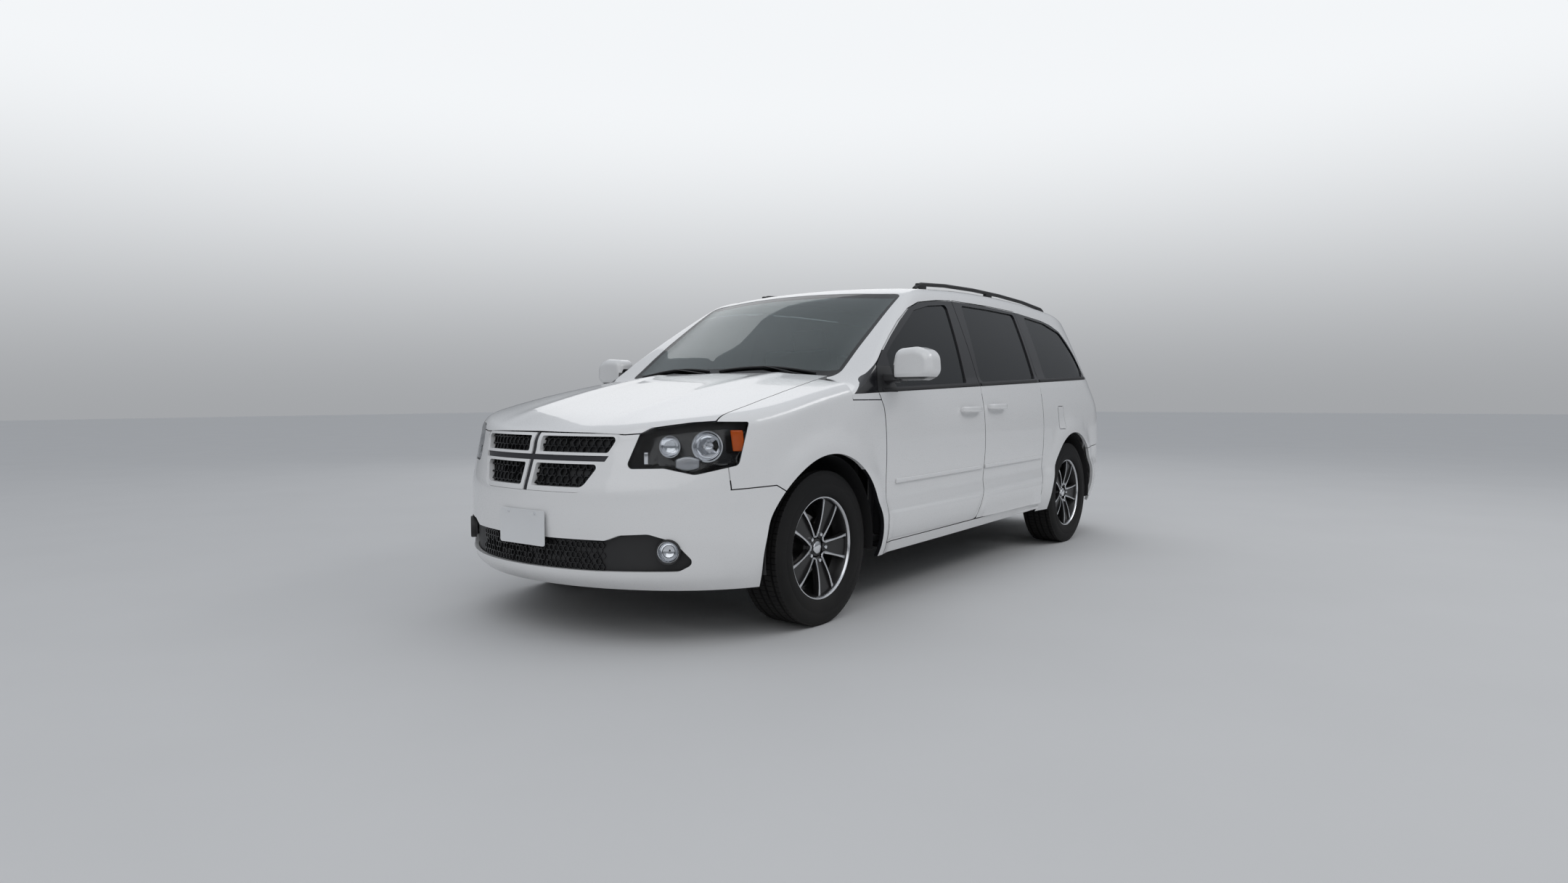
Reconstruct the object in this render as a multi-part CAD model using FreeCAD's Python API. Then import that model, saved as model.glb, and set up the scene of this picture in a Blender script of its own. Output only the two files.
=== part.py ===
import FreeCAD, Part
import math
import os
from FreeCAD import Placement, Rotation, Vector

doc = FreeCAD.newDocument("Minivan")

# Driving dimensions in millimetres. The frame has X along the car with the nose at -X, Y across
# with the driver's side at -Y, and Z up from the ground at the middle of the length.
SIZES = [
    ("overall_length", 5151), ("wheel_base", 3078), ("front_overhang", 953),
    ("track_front", 1650), ("track_rear", 1646), ("tyre_radius", 354), ("tyre_width", 225),
    ("rim_radius", 216), ("rim_width", 190), ("hub_radius", 70), ("spoke_thickness", 34),
    ("arch_radius", 433), ("flare_radius", 540), ("flare_depth", 24),
    ("side_half_width", 975), ("nose_half_width", 990), ("nose_length", 778),
    ("body_bottom", 245), ("shut_gap", 5), ("panel_depth", 20), ("door_depth", 110),
    ("frame_depth", 45), ("flange_depth", 12), ("flange_width", 12), ("seat_gap", 0.3), ("glass_depth", 6), ("door_front", -1133), ("door_split", -20),
    ("slide_rear", 888), ("door_bottom", 320), ("belt_front", 1056), ("belt_slope", 0.034),
    ("cant_front", 1527), ("hinge_back", 60), ("hinge_in", 23), ("roof_height", 1735),
    ("gate_front", 2246), ("gate_gap", 10), ("flap_depth", 8), ("kingpin_inset", 60), ("floor_height", 360), ("floor_depth", 40),
    ("sill_bottom", 262), ("glass_belt_half", 942), ("tumblehome", 0.376), ("cabin_front", -1420),
]
sheet = doc.addObject("Spreadsheet::Sheet", "Sizes")
for row, (alias, value) in enumerate(SIZES, start=1):
    sheet.set("A%d" % row, alias)
    sheet.set("B%d" % row, str(value))
    sheet.setAlias("B%d" % row, alias)
doc.recompute()


class Sizes:
    pass


s = Sizes()
for alias, value in SIZES:
    setattr(s, alias, float(sheet.get(alias)))

FRONT = -s.overall_length / 2
REAR = s.overall_length / 2
AXLE_F = FRONT + s.front_overhang
AXLE_R = AXLE_F + s.wheel_base
HUB = s.tyre_radius
NOSE_ROOT = FRONT + s.nose_length


# Small curve and surface helpers.
def curve(points):
    """Smooth monotone curve through (position, value) points, as a function."""
    xs = [p[0] for p in points]
    ys = [p[1] for p in points]
    count = len(xs)
    slopes = [(ys[i + 1] - ys[i]) / (xs[i + 1] - xs[i]) for i in range(count - 1)]
    grads = [slopes[0]]
    for i in range(1, count - 1):
        a, b = slopes[i - 1], slopes[i]
        grads.append(0.0 if a * b <= 0 else 2 * a * b / (a + b))
    grads.append(slopes[-1])

    def value(x):
        if x <= xs[0]:
            return ys[0] + grads[0] * (x - xs[0])
        if x >= xs[-1]:
            return ys[-1] + grads[-1] * (x - xs[-1])
        i = max(k for k in range(count - 1) if xs[k] <= x)
        span = xs[i + 1] - xs[i]
        t = (x - xs[i]) / span
        h00 = (1 + 2 * t) * (1 - t) ** 2
        h10 = t * (1 - t) ** 2
        h01 = t * t * (3 - 2 * t)
        h11 = t * t * (t - 1)
        return h00 * ys[i] + h10 * span * grads[i] + h01 * ys[i + 1] + h11 * span * grads[i + 1]

    return value


def spread(first, last, count):
    return [first + (last - first) * i / (count - 1) for i in range(count)]


def clamp(value, low=0.0, high=1.0):
    return min(max(value, low), high)


def ease(t):
    t = clamp(t)
    return t * t * (3 - 2 * t)


def patch(grid):
    """Smooth surface that takes the grid as its poles, so it never swings past them."""
    knots, repeats, degrees = [], [], []
    for count in (len(grid), len(grid[0])):
        degree = min(3, count - 1)
        knots.append([float(i) for i in range(count - degree + 1)])
        repeats.append([degree + 1] + [1] * (count - degree - 1) + [degree + 1])
        degrees.append(degree)
    surface = Part.BSplineSurface()
    surface.buildFromPolesMultsKnots(grid, repeats[0], repeats[1], knots[0], knots[1], False, False,
                                     degrees[0], degrees[1])
    return surface.toShape()


def offset_grid(grid, depth):
    """The grid moved along its own normals, positive depth to the side of d_row x d_column."""
    rows, columns = len(grid), len(grid[0])
    moved = []
    for i in range(rows):
        line = []
        for j in range(columns):
            du = grid[min(i + 1, rows - 1)][j] - grid[max(i - 1, 0)][j]
            dv = grid[i][min(j + 1, columns - 1)] - grid[i][max(j - 1, 0)]
            normal = du.cross(dv)
            if abs(grid[i][j].y) < 1e-6:
                normal.y = 0
            normal.normalize()
            line.append(grid[i][j] + normal * depth)
        moved.append(line)
    return moved


def closed(faces):
    shell = Part.Shell(faces)
    shell.sewShape()
    solid = Part.Solid(shell)
    if solid.Volume < 0:
        solid.reverse()
    return solid


def between(outer_grid, inner_grid):
    """Solid between two grids of the same make, closed by ruled edge faces."""
    outer, inner = patch(outer_grid), patch(inner_grid)
    faces = [outer, inner]
    for edge in outer.Edges:
        middle = edge.valueAt((edge.FirstParameter + edge.LastParameter) / 2)
        partner = min(inner.Edges, key=lambda other: (
            other.valueAt((other.FirstParameter + other.LastParameter) / 2) - middle).Length)
        faces.append(Part.makeRuledSurface(edge, partner))
    return closed(faces)


def thick(grid, depth):
    return between(grid, offset_grid(grid, depth))


def mirrored(shape):
    return shape.mirror(Vector(0, 0, 0), Vector(0, 1, 0))


def both(shape):
    return shape.fuse(mirrored(shape))


def box(x0, x1, y0, y1, z0, z1):
    return Part.makeBox(x1 - x0, y1 - y0, z1 - z0, Vector(x0, y0, z0))


def rounded_wire(points, place):
    """Closed outline of (a, b) or (a, b, corner radius) points put in space by place."""
    count = len(points)
    edges = []
    entries, exits, middles = [], [], []
    for i in range(count):
        here = Vector(points[i][0], points[i][1], 0)
        radius = points[i][2] if len(points[i]) > 2 else 0
        back = Vector(points[i - 1][0], points[i - 1][1], 0) - here
        ahead = Vector(points[(i + 1) % count][0], points[(i + 1) % count][1], 0) - here
        if not radius:
            entries.append(here)
            exits.append(here)
            middles.append(None)
            continue
        angle = back.getAngle(ahead)
        reach = radius / math.tan(angle / 2)
        back.normalize()
        ahead.normalize()
        centre = here + (back + ahead).normalize() * (radius / math.sin(angle / 2))
        entries.append(here + back * reach)
        exits.append(here + ahead * reach)
        middles.append(centre + (here - centre).normalize() * radius)
    for i in range(count):
        if middles[i] is not None:
            edges.append(Part.Arc(place(entries[i]), place(middles[i]), place(exits[i])).toShape())
        following = (i + 1) % count
        if (exits[i] - entries[following]).Length > 1e-6:
            edges.append(Part.LineSegment(place(exits[i]), place(entries[following])).toShape())
    return Part.Wire(edges)


def prism_y(points, y0, y1):
    """Solid with an outline of (x, z) points between two y planes."""
    face = Part.Face(rounded_wire(points, lambda p: Vector(p.x, y0, p.y)))
    return face.extrude(Vector(0, y1 - y0, 0))


def prism_x(points, x0, x1):
    """Solid with an outline of (y, z) points between two x planes."""
    face = Part.Face(rounded_wire(points, lambda p: Vector(x0, p.x, p.y)))
    return face.extrude(Vector(x1 - x0, 0, 0))


def prism_z(points, z0, z1):
    """Solid with an outline of (x, y) points between two z planes."""
    face = Part.Face(rounded_wire(points, lambda p: Vector(p.x, p.y, z0)))
    return face.extrude(Vector(0, 0, z1 - z0))


def tube_y(x, z, radius, y0, y1):
    return Part.makeCylinder(radius, y1 - y0, Vector(x, y0, z), Vector(0, 1, 0))


# Body form. Side insets, corner insets, nose and tail setbacks by height.
SIDE_INSET = curve([(240, 46), (300, 24), (340, 13), (400, 4), (460, 0), (500, 5), (535, 12), (580, 9),
                    (640, 5), (700, 2), (780, 0), (860, 2), (940, 8), (1010, 18), (1080, 32), (1180, 55)])
NOSE_SETBACK = curve([(240, 62), (285, 8), (320, 0), (400, 4), (520, 0), (640, 3), (700, 22), (780, 48),
                      (860, 76), (920, 97), (1000, 125), (1100, 160)])
TAIL = curve([(240, 2520), (330, 2560), (450, 2575), (600, 2575), (680, 2560), (720, 2520), (900, 2522),
              (1100, 2512), (1180, 2505), (1350, 2472), (1450, 2443), (1577, 2390), (1700, 2330)])
TAIL_ROOT = curve([(240, 1960), (950, 1940), (1111, 1820), (1250, 1750), (1430, 1700), (1700, 1670)])
TAIL_POWER = 2.35
CREASE_RISE = 0.0175


def side_bow(x):
    return 7.5e-6 * (x + 300) ** 2


def belt(x):
    return s.belt_front + s.belt_slope * (x - s.cabin_front)


def flare(x, z):
    """How far the arch flares push the side out at one place."""
    out = 0.0
    for axle in (AXLE_F, AXLE_R):
        reach = math.hypot(x - axle, max(z - HUB, 0))
        t = clamp((s.flare_radius - reach) / (s.flare_radius - s.arch_radius))
        out += s.flare_depth * math.sin(t * math.pi / 2)
    return out


def side_half(x, z):
    """Half width of the lower body without the corners."""
    low = z - CREASE_RISE * (x - s.door_front) * ease((700 - z) / 120)
    return s.side_half_width - side_bow(x) - SIDE_INSET(low) + flare(x, z)


def glass_half(x, z):
    """Half width of the cabin above the belt line."""
    rise = z - 1070
    bulge = 10 * math.sin(clamp(rise / 560) * math.pi)
    return s.glass_belt_half - s.tumblehome * rise + bulge - side_bow(x) * 0.8


def wall_half(x, z):
    """Half width at any height: lower body, then cabin, joined at the belt line."""
    line = belt(x)
    if z <= line:
        return side_half(x, z)
    step = side_half(x, line) - glass_half(x, line)
    return glass_half(x, z) + step * ease((line + 60 - z) / 60)


def corner_point(turn, z, inset=0.0):
    """Point on the rear corner: turn 0 on the side at the tail root, 1 on the centre line."""
    root = TAIL_ROOT(z)
    depth = TAIL(z) - root
    angle = turn * math.pi / 2
    power = 2 / TAIL_POWER
    x = root + depth * math.sin(angle) ** power
    half = wall_half(min(x, 2250), z) * math.cos(angle) ** power if turn < 1 else 0.0
    return Vector(x, -half, z)


def taper(x, z):
    """Share of the side half width that is left at x because of the rear corner."""
    root = TAIL_ROOT(z)
    if x <= root:
        return 1.0
    t = min((x - root) / (TAIL(z) - root), 0.999)
    return (1 - t ** TAIL_POWER) ** (1 / TAIL_POWER)


ROOF_LINE = curve([(-1500, 1064), (-1420, 1096), (-1350, 1129), (-1290, 1165), (-1100, 1302), (-900, 1437), (-700, 1572),
                   (-620, 1620), (-540, 1656), (-400, 1688), (-100, 1711), (300, 1730), (700, 1735),
                   (1200, 1727), (1700, 1700), (2100, 1652), (2345, 1606), (2600, 1550)])


def roof_z(x, y):
    """Height of the windscreen and roof surface."""
    windscreen = 1 - ease((x + 620) / 500)
    wrap = 2.04e-4 * min(abs(y), 650) ** 2 * windscreen
    crown = (0.8e-5 + 5.4e-5 * ease((x + 900) / 700)) * y * y
    return ROOF_LINE(x - wrap) + (s.roof_height - 1735) - crown


HOOD_LINE = curve([(-2600, 860), (-2500, 893), (-2440, 918), (-2300, 968), (-2000, 1046), (-1650, 1120),
                   (-1305, 1176), (-1100, 1200)])
SHOULDER = 62.0


def hood_z(x, y, inside):
    """Height of the hood and fender tops; inside is the distance in from the outline."""
    crown = 4.6e-5 * y * y + 2.6e-11 * y ** 4
    ridge = (abs(y) - 430 - 0.08 * (x + 1300)) / 55
    crease = 7 * math.exp(-ridge ** 2) * ease((x + 2480) / 260)
    drop = 0.0
    if inside < SHOULDER:
        drop = SHOULDER - math.sqrt(max(SHOULDER ** 2 - (SHOULDER - inside) ** 2, 0))
    return HOOD_LINE(x) - crown + crease - drop


def nose_outline(turn, z):
    """Front plan outline: turn 0 at the nose centre, 1 at the nose root, above 1 along the side."""
    if turn <= 1:
        angle = turn * math.pi / 2
        reach = s.nose_length - NOSE_SETBACK(z)
        x = NOSE_ROOT - reach * math.cos(angle)
        half = (s.nose_half_width - SIDE_INSET(z)) * math.sin(angle)
        blend = ease((turn - 0.6) / 0.4)
        return x, half + (side_half(x, z) * math.sin(angle) - half) * blend
    x = NOSE_ROOT + (turn - 1) * 1000
    return x, side_half(x, z)


def shoulder_top(turn):
    """Height where the front wall ends and the round shoulder starts."""
    top = 880.0
    for _ in range(4):
        x, half = nose_outline(turn, top)
        top = HOOD_LINE(x) - 4.6e-5 * half ** 2 - 2.6e-11 * half ** 4 - SHOULDER
    return top


FRONT_ROWS = [240, 262, 285, 310, 350, 400, 440, 470, 500, 535, 580, 620, 660, 700]


def front_grid(turns, caps):
    """Wall rows from the bottom to the shoulder, then cap rows going inwards over the top."""
    grid = []
    for turn in turns:
        top = shoulder_top(turn)
        column = []
        for z in FRONT_ROWS + spread(700, top, 7)[1:]:
            x, half = nose_outline(turn, z)
            column.append(Vector(x, -half, z))
        x_edge, half_edge = nose_outline(turn, top)
        steps = [SHOULDER * (1 - math.cos(a)) for a in spread(0, math.pi / 2, 6)[1:]]
        steps += spread(SHOULDER, caps, 6)[1:]
        for inside in steps:
            share = 1 - inside / s.nose_half_width
            x = NOSE_ROOT - (NOSE_ROOT - x_edge) * share if turn <= 1 else x_edge
            column.append(Vector(x, -half_edge * share, hood_z(x, half_edge * share, inside)))
        grid.append(column)
    return grid


def hood_grid(half_width, rear):
    """Fore and aft sections: up the nose, over the round front edge and back to the rear."""
    grid = []
    for y in spread(-half_width, half_width, 45):
        low, high = 0.0, 1.0
        for _ in range(30):
            turn = (low + high) / 2
            if nose_outline(turn, shoulder_top(turn))[1] < abs(y):
                low = turn
            else:
                high = turn
        top = shoulder_top(turn)
        x_edge, half_edge = nose_outline(turn, top)
        reach = (NOSE_ROOT - x_edge) / math.cos(turn * math.pi / 2)
        half = half_edge / math.sin(turn * math.pi / 2) if turn > 0.001 else s.nose_half_width
        column = []
        for z in (top - 60, top - 40, top - 20, top):
            wall_low, wall_high = 0.0, 1.0
            for _ in range(30):
                middle = (wall_low + wall_high) / 2
                if nose_outline(middle, z)[1] < abs(y):
                    wall_low = middle
                else:
                    wall_high = middle
            column.append(Vector(nose_outline(middle, z)[0], y, z))
        steps = [SHOULDER * (1 - math.cos(a)) for a in spread(0, math.pi / 2, 6)[1:]]
        for inside in steps:
            share = 1 - inside / s.nose_half_width
            depth = math.sqrt(max(share ** 2 - (y / half) ** 2, 0.0))
            x = NOSE_ROOT - reach * depth
            column.append(Vector(x, y, hood_z(x, abs(y), inside)))
        start = column[-1].x
        for t in spread(0, 1, 16)[1:]:
            x = start + (rear - start) * t
            share = math.hypot((NOSE_ROOT - min(x, NOSE_ROOT)) / reach, y / half)
            column.append(Vector(x, y, hood_z(x, abs(y), (1 - share) * s.nose_half_width)))
        grid.append(column)
    return grid


FOOT_SLANT = 156.0
CABIN_BOTTOM = s.belt_front - 26
foot_front = s.cabin_front + 20


def cabin_grid(xs):
    """Sections of the cabin from below the belt line over the cant rail to the centre line."""
    grid = []
    for x in xs:
        reach = 12 + 16 * ease((x + 1400) / 160) + 27 * ease((x + 1250) / 650) + 15 * ease((x + 600) / 600)
        half = wall_half(x, 1600 if x > -300 else max(1060, ROOF_LINE(x - 86))) * taper(x, 1600)
        edge_z = roof_z(x, half)
        for _ in range(3):
            half = glass_half(x, edge_z) * taper(x, edge_z)
            edge_z = roof_z(x, half)
        start = edge_z - reach * 0.9
        column = []
        for z in spread(CABIN_BOTTOM, start, 12):
            column.append(Vector(x, -wall_half(x, z) * taper(x, z), z))
        p0 = column[-1]
        slope = (column[-1] - column[-2]).normalize()
        p1 = p0 + slope * ((edge_z - start) / slope.z)
        inner = abs(p1.y) - reach
        p2 = Vector(x, -inner, roof_z(x, inner))
        for t in spread(0, 1, 6)[1:]:
            column.append(p0 * (1 - t) ** 2 + p1 * (2 * t * (1 - t)) + p2 * t * t)
        for t in spread(0, 1, 10)[1:]:
            y = inner * (1 - t)
            column.append(Vector(x, -y, roof_z(x, y)))
        outer = abs(p1.y)
        for i, point in enumerate(column):
            slant = FOOT_SLANT * ease((outer - abs(point.y)) / 212) * (1 - clamp((x - foot_front) / 500))
            if i > 11:
                column[i] = Vector(x + slant, point.y, point.z - roof_z(x, point.y) + roof_z(x + slant, point.y))
        grid.append(column)
    return grid


def prism_slant(points, angle, reach):
    """Outline of (x, y, z) points cut through level, square to a line at an angle from X."""
    across = Vector(math.sin(angle), -math.cos(angle), 0)
    along = Vector(math.cos(angle), math.sin(angle), 0)
    middle = Vector(points[0][0], points[0][1], 0)
    base = middle - across * middle.dot(across) - along * reach
    flat = [(Vector(p[0], p[1], 0).dot(across), p[2]) + tuple(p[3:]) for p in points]
    face = Part.Face(rounded_wire(flat, lambda p: base + across * p.x + Vector(0, 0, p.y)))
    return face.extrude(along * (2 * reach))


LOW_ROWS = [240, 262, 285, 310, 340, 370, 400, 430, 455, 475, 495, 515, 540, 580, 620, 660, 700, 760, 820, 880]


def side_rows(x, top):
    """Heights of the side rows at one place; they follow the lower crease and the belt line."""
    rise = CREASE_RISE * (x - s.door_front)
    rows = [z + rise * ease((700 - z) / 120) for z in LOW_ROWS]
    line = belt(x)
    rows += spread(rows[-1], line, 7)[1:]
    rows += [line + 15, line + 30, line + 45, line + 60]
    rows += spread(line + 60, top, 10)[1:]
    return rows


def full_side(x_list, top=1650):
    """Grid of the whole side wall, lower body and glass in one surface."""
    grid = []
    for x in x_list:
        grid.append([Vector(x, -wall_half(x, z) * taper(x, z), z) for z in side_rows(x, top)])
    return grid


def glass_grid(x_list, sink):
    """Grid of the side glass surface, sunk a little under the frames."""
    return [[Vector(x, -glass_half(x, z) * taper(x, z) + sink, z) for z in spread(1040, 1650, 16)]
            for x in x_list]


def tail_grid(turns, low, high):
    """Grid around the rear corner to the centre line."""
    heights = [z for z in LOW_ROWS + spread(900, high, 22) if z > low]
    return [[corner_point(turn, z) for z in [low] + heights] for turn in turns]


# Masters of the painted body, driver's side only except the hood.
FRONT_TURNS = spread(0, 1, 26) + spread(1, 1.82, 22)[1:]
CABIN_XS = (spread(s.cabin_front + 20, -300, 30) + spread(-300, 1650, 16)[1:]
            + spread(1650, s.gate_front - s.gate_gap, 14)[1:])
front_skin = thick(front_grid(FRONT_TURNS, 330), -s.panel_depth)
hood_skin = thick(hood_grid(800, -1240), 16)
cabin_skin = patch(cabin_grid(CABIN_XS)).extrude(Vector(0, 17, -20))
cabin_skin.translate(Vector(0, 0.8, 0))
cabin_skin = cabin_skin.cut(box(-1600, 2400, -s.seat_gap / 2, 100, 900, 1900))
cabin_skin = cabin_skin.cut(box(-1600, 2400, -1100, 100, 900, CABIN_BOTTOM + 1))
side_face = patch(full_side(spread(-1320, 1100, 70)))
side_slab = side_face.extrude(Vector(0, s.frame_depth, 0))
flange_slab = side_face.extrude(Vector(0, s.flange_depth, 0))
inner_face = side_face.copy()
inner_face.translate(Vector(0, s.flange_depth - 2, 0))
inner_slab = inner_face.extrude(Vector(0, s.frame_depth - s.flange_depth + 2, 0))
quarter_skin = thick(full_side(spread(820, 1700, 26) + spread(1700, 2300, 26)[1:], 1560), -s.panel_depth)
tail_skin = thick(tail_grid(spread(0, 1, 30), s.body_bottom, 1640), -s.panel_depth)
glass_face = patch(glass_grid(spread(-1320, 1700, 30) + spread(1700, 2240, 24)[1:], 9))
glass_slab = glass_face.extrude(Vector(0, s.glass_depth, 0))

nodes = {}


def add(name, shape, placement=None):
    """One sub-part as an object of the document."""
    item = doc.addObject("Part::Feature", name)
    item.Label = name
    item.Shape = shape
    nodes[name] = item
    return item


def pair(name, shape):
    add(name + "_left", shape)
    add(name + "_right", mirrored(shape))


def main_solid(shape):
    """The largest solid of a result, without slivers that a cut leaves."""
    return max(shape.Solids, key=lambda solid: solid.Volume)


def grown(points, gap):
    """Outline moved outwards by a gap, for (a, b, radius) points in either turning sense."""
    count = len(points)
    area = sum(points[i - 1][0] * points[i][1] - points[i][0] * points[i - 1][1] for i in range(count))
    sign = 1 if area > 0 else -1
    result = []
    for i in range(count):
        here = Vector(points[i][0], points[i][1], 0)
        before = (here - Vector(points[i - 1][0], points[i - 1][1], 0)).normalize()
        after = (Vector(points[(i + 1) % count][0], points[(i + 1) % count][1], 0) - here).normalize()
        n0 = Vector(before.y, -before.x, 0) * sign
        n1 = Vector(after.y, -after.x, 0) * sign
        shift = (n0 + n1) * (gap / (1 + n0.dot(n1)))
        radius = points[i][2] if len(points[i]) > 2 else 0
        turn = before.cross(after).z * sign
        if radius:
            radius = max(radius + (gap if turn > 0 else -gap), 0.5)
        result.append((here.x + shift.x, here.y + shift.y, radius))
    return result


# Outlines in side view, as (x, z, corner radius).
CANT = curve([(-1420, 1032), (-1371, 1062), (-1112, 1211), (-883, 1362), (-586, 1527), (-440, 1572),
              (-200, 1602), (0, 1614), (400, 1622), (1000, 1612), (1400, 1588), (1750, 1548), (2100, 1480)])
CANT_XS = (-1000, -883, -740, -586, -440, -200)
door_line = [(s.door_front, s.door_bottom + 2, 12), (-115, s.door_bottom + 14, 60), (-38, 470, 300),
             (s.door_split - 3, 750), (s.door_split + 2, 1120), (s.door_split + 18, CANT(0) + 2, 12)]
door_line += [(x, CANT(x)) for x in reversed(CANT_XS)]
door_line += [(-1108, 1205), (-1163, belt(-1163) + 8, 10), (s.door_front, 990, 60)]
slide_line = [(-115 + s.shut_gap, s.door_bottom + 15, 0), (s.slide_rear - 6, s.door_bottom + 27, 12),
              (s.slide_rear + 4, 650), (s.slide_rear + 22, 1000), (s.slide_rear + 36, 1150),
              (s.slide_rear + 50, CANT(940) + 2, 12), (500, CANT(500)),
              (s.door_split + 18 + s.shut_gap, CANT(20) + 2, 12), (s.door_split + 2 + s.shut_gap, 1120),
              (s.door_split - 3 + s.shut_gap, 750), (-38 + s.shut_gap, 470, 300)]
front_window = [(-985, belt(-985) + 26, 14), (-176, belt(-176) + 24, 20), (-94, CANT(-94) - 24, 26),
                (-330, CANT(-330) - 26), (-530, CANT(-530) - 26, 40), (-883, CANT(-883) - 34),
                (-985, CANT(-985) - 34, 14)]
slide_window = [(16, belt(16) + 26, 22), (878, belt(878) + 26, 22), (905, CANT(905) - 20, 26),
                (500, CANT(500) - 22), (112, CANT(112) - 20, 30)]
quarter_window = [(1068, belt(1068) + 26, 20), (1930, belt(1930) + 22, 60), (1860, 1340, 300),
                  (1700, 1510, 120), (1440, CANT(1440) - 18), (1086, CANT(1086) - 18, 26)]


def side_prism(points, gap=0.0, y0=-1100, y1=-500):
    return prism_y(grown(points, gap) if gap else points, y0, y1)


CASING_IN = -s.side_half_width + s.door_depth
HINGE_X = s.door_front + s.hinge_back
HINGE_Y = -s.side_half_width + s.hinge_in


def door_shell(outline, window):
    """Outer skin with a flange round a deeper inner frame."""
    skin = main_solid(flange_slab.common(side_prism(outline)).cut(side_prism(window)))
    frame = main_solid(inner_slab.common(side_prism(outline, -s.flange_width)).cut(side_prism(window)))
    return skin.fuse(frame)


# Mirrors: a rounded housing on a short arm, fixed to the front doors.
def mirror_housing():
    head = prism_x([(-1188, 1150, 50), (-1180, 1262, 62), (-1100, 1288, 70), (-985, 1280, 50), (-962, 1180, 40),
                    (-966, 1122, 30), (-1130, 1124, 50)], -1098, -978)
    front = [edge for edge in head.Edges if edge.BoundBox.XMax < -1097]
    back = [edge for edge in head.Edges if edge.BoundBox.XMin > -979]
    head = head.makeFillet(38, front)
    back = [edge for edge in head.Edges if edge.BoundBox.XMin > -979]
    head = head.makeFillet(10, back)
    arm = prism_y([(-1086, 1112, 12), (-1000, 1120, 12), (-1006, 1164, 12), (-1078, 1160, 12)], -1010, -905)
    return head.fuse(arm)


# Front doors.
casing_front = prism_y([(HINGE_X - 20, 345, 20), (-120, 352, 30), (-62, 480, 60), (-50, belt(-50) - 20, 20),
                        (-1040, belt(-1040) - 24, 30), (HINGE_X - 20, 980, 20)], -918, CASING_IN)
front_door = door_shell(door_line, front_window).fuse([casing_front, mirror_housing()])
pair("front_door", front_door)
door_pane = main_solid(glass_slab.common(side_prism(front_window, -0.5)))
pair("door_glass", door_pane)

# Sliding doors.
casing_slide = prism_y([(-80, 356, 20), (s.slide_rear - 22, 366, 20), (s.slide_rear - 8, belt(880) - 24, 20),
                        (16, belt(16) - 24, 20), (10, 480, 60)], -918, CASING_IN)
pair("sliding_door", door_shell(slide_line, slide_window).fuse(casing_slide))
slide_pane = main_solid(glass_slab.common(side_prism(slide_window, -0.5)))
quarter_pane = main_solid(glass_slab.common(side_prism(quarter_window, -0.5)))
panes = [slide_pane, quarter_pane]
add("side_glass", Part.makeCompound(panes + [mirrored(pane) for pane in panes]))

# Wheel openings and the fender outline in side view.
arch_front = tube_y(AXLE_F, HUB, s.arch_radius, -1100, -500)
arch_rear = tube_y(AXLE_R, HUB, s.arch_radius, -1100, -500)
fender_zone = [(-2178, 664), (-1990, 673), (-1700, 500), (-1560, s.sill_bottom),
               (s.door_front - s.shut_gap, s.sill_bottom), (s.door_front - s.shut_gap, CABIN_BOTTOM - 4),
               (-1402, CABIN_BOTTOM - 4), (-1402, 1400), (-2250, 1400), (-2182, 764)]
LAMP = [(-2439, -496, 748, 20), (-2383, -530, 894, 14), (-2359, -566, 917), (-2273, -704, 937),
        (-2216, -777, 943), (-2101, -884, 941, 8), (-2151, -869, 762, 24), (-2290, -747, 724, 60),
        (-2361, -643, 751, 60)]
LAMP_ANGLE = math.radians(42)


def hood_rear(y):
    return -1336 + 48 * (abs(y) / 716) ** 2


def screen_base(y):
    return -1298 + 70 * (abs(y) / 735) ** 2


def hood_plan(gap):
    """Hood outline from above; a positive gap opens it."""
    side = curve([(-2216, 779), (-2000, 786), (-1800, 780), (-1500, 752), (-1288, 716)])
    points = [(-2640, -779 - gap)]
    points += [(x, -side(x) - gap) for x in (-2216, -2000, -1800, -1650, -1500, -1400, -1288)]
    points[-1] = (-1288 + gap, -716 - gap)
    points += [(hood_rear(y) + gap, -y) for y in (600, 400, 200, 0)]
    return points + [(x, -y) for x, y in reversed(points[:-1])]


def hood_front_zone(gap):
    """What lies above the front edge of the hood in front view, as (y, z)."""
    edge = [(0, 899), (300, 896), (469, 891), (533, 896), (566, 918), (640, 930), (704, 940), (779, 946), (900, 950)]
    points = [(-y, z - gap) for y, z in reversed(edge)] + [(y, z - gap) for y, z in edge[1:]]
    return points + [(900, 1500), (-900, 1500)]


# Hood: one smooth skin over an inner frame.
hood_cut = prism_z(hood_plan(0), 700, 1400).common(prism_x(hood_front_zone(0), -2700, -1100))
hood_room = prism_z(hood_plan(s.shut_gap), 700, 1400).common(
    prism_x(hood_front_zone(s.shut_gap), -2700, -1100))
hood = main_solid(hood_skin.common(hood_cut))
add("hood", hood)

# Fenders with their arch flares.
lamp_room = prism_slant(LAMP, LAMP_ANGLE, 420)
fender = front_skin.common(side_prism(fender_zone)).cut(arch_front).cut(hood_room).cut(lamp_room)
pillar_line = prism_z([(-1403 - 3, -1100), (-1403 - 3, -947), (-1246 - 3, -735), (-1246 - 3, -500), (-900, -500),
                       (-900, -1100)], CABIN_BOTTOM - 4, 1500)
fender = main_solid(fender.cut(pillar_line).cut(side_prism(door_line, s.shut_gap)))
pair("front_fender", fender)

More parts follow.
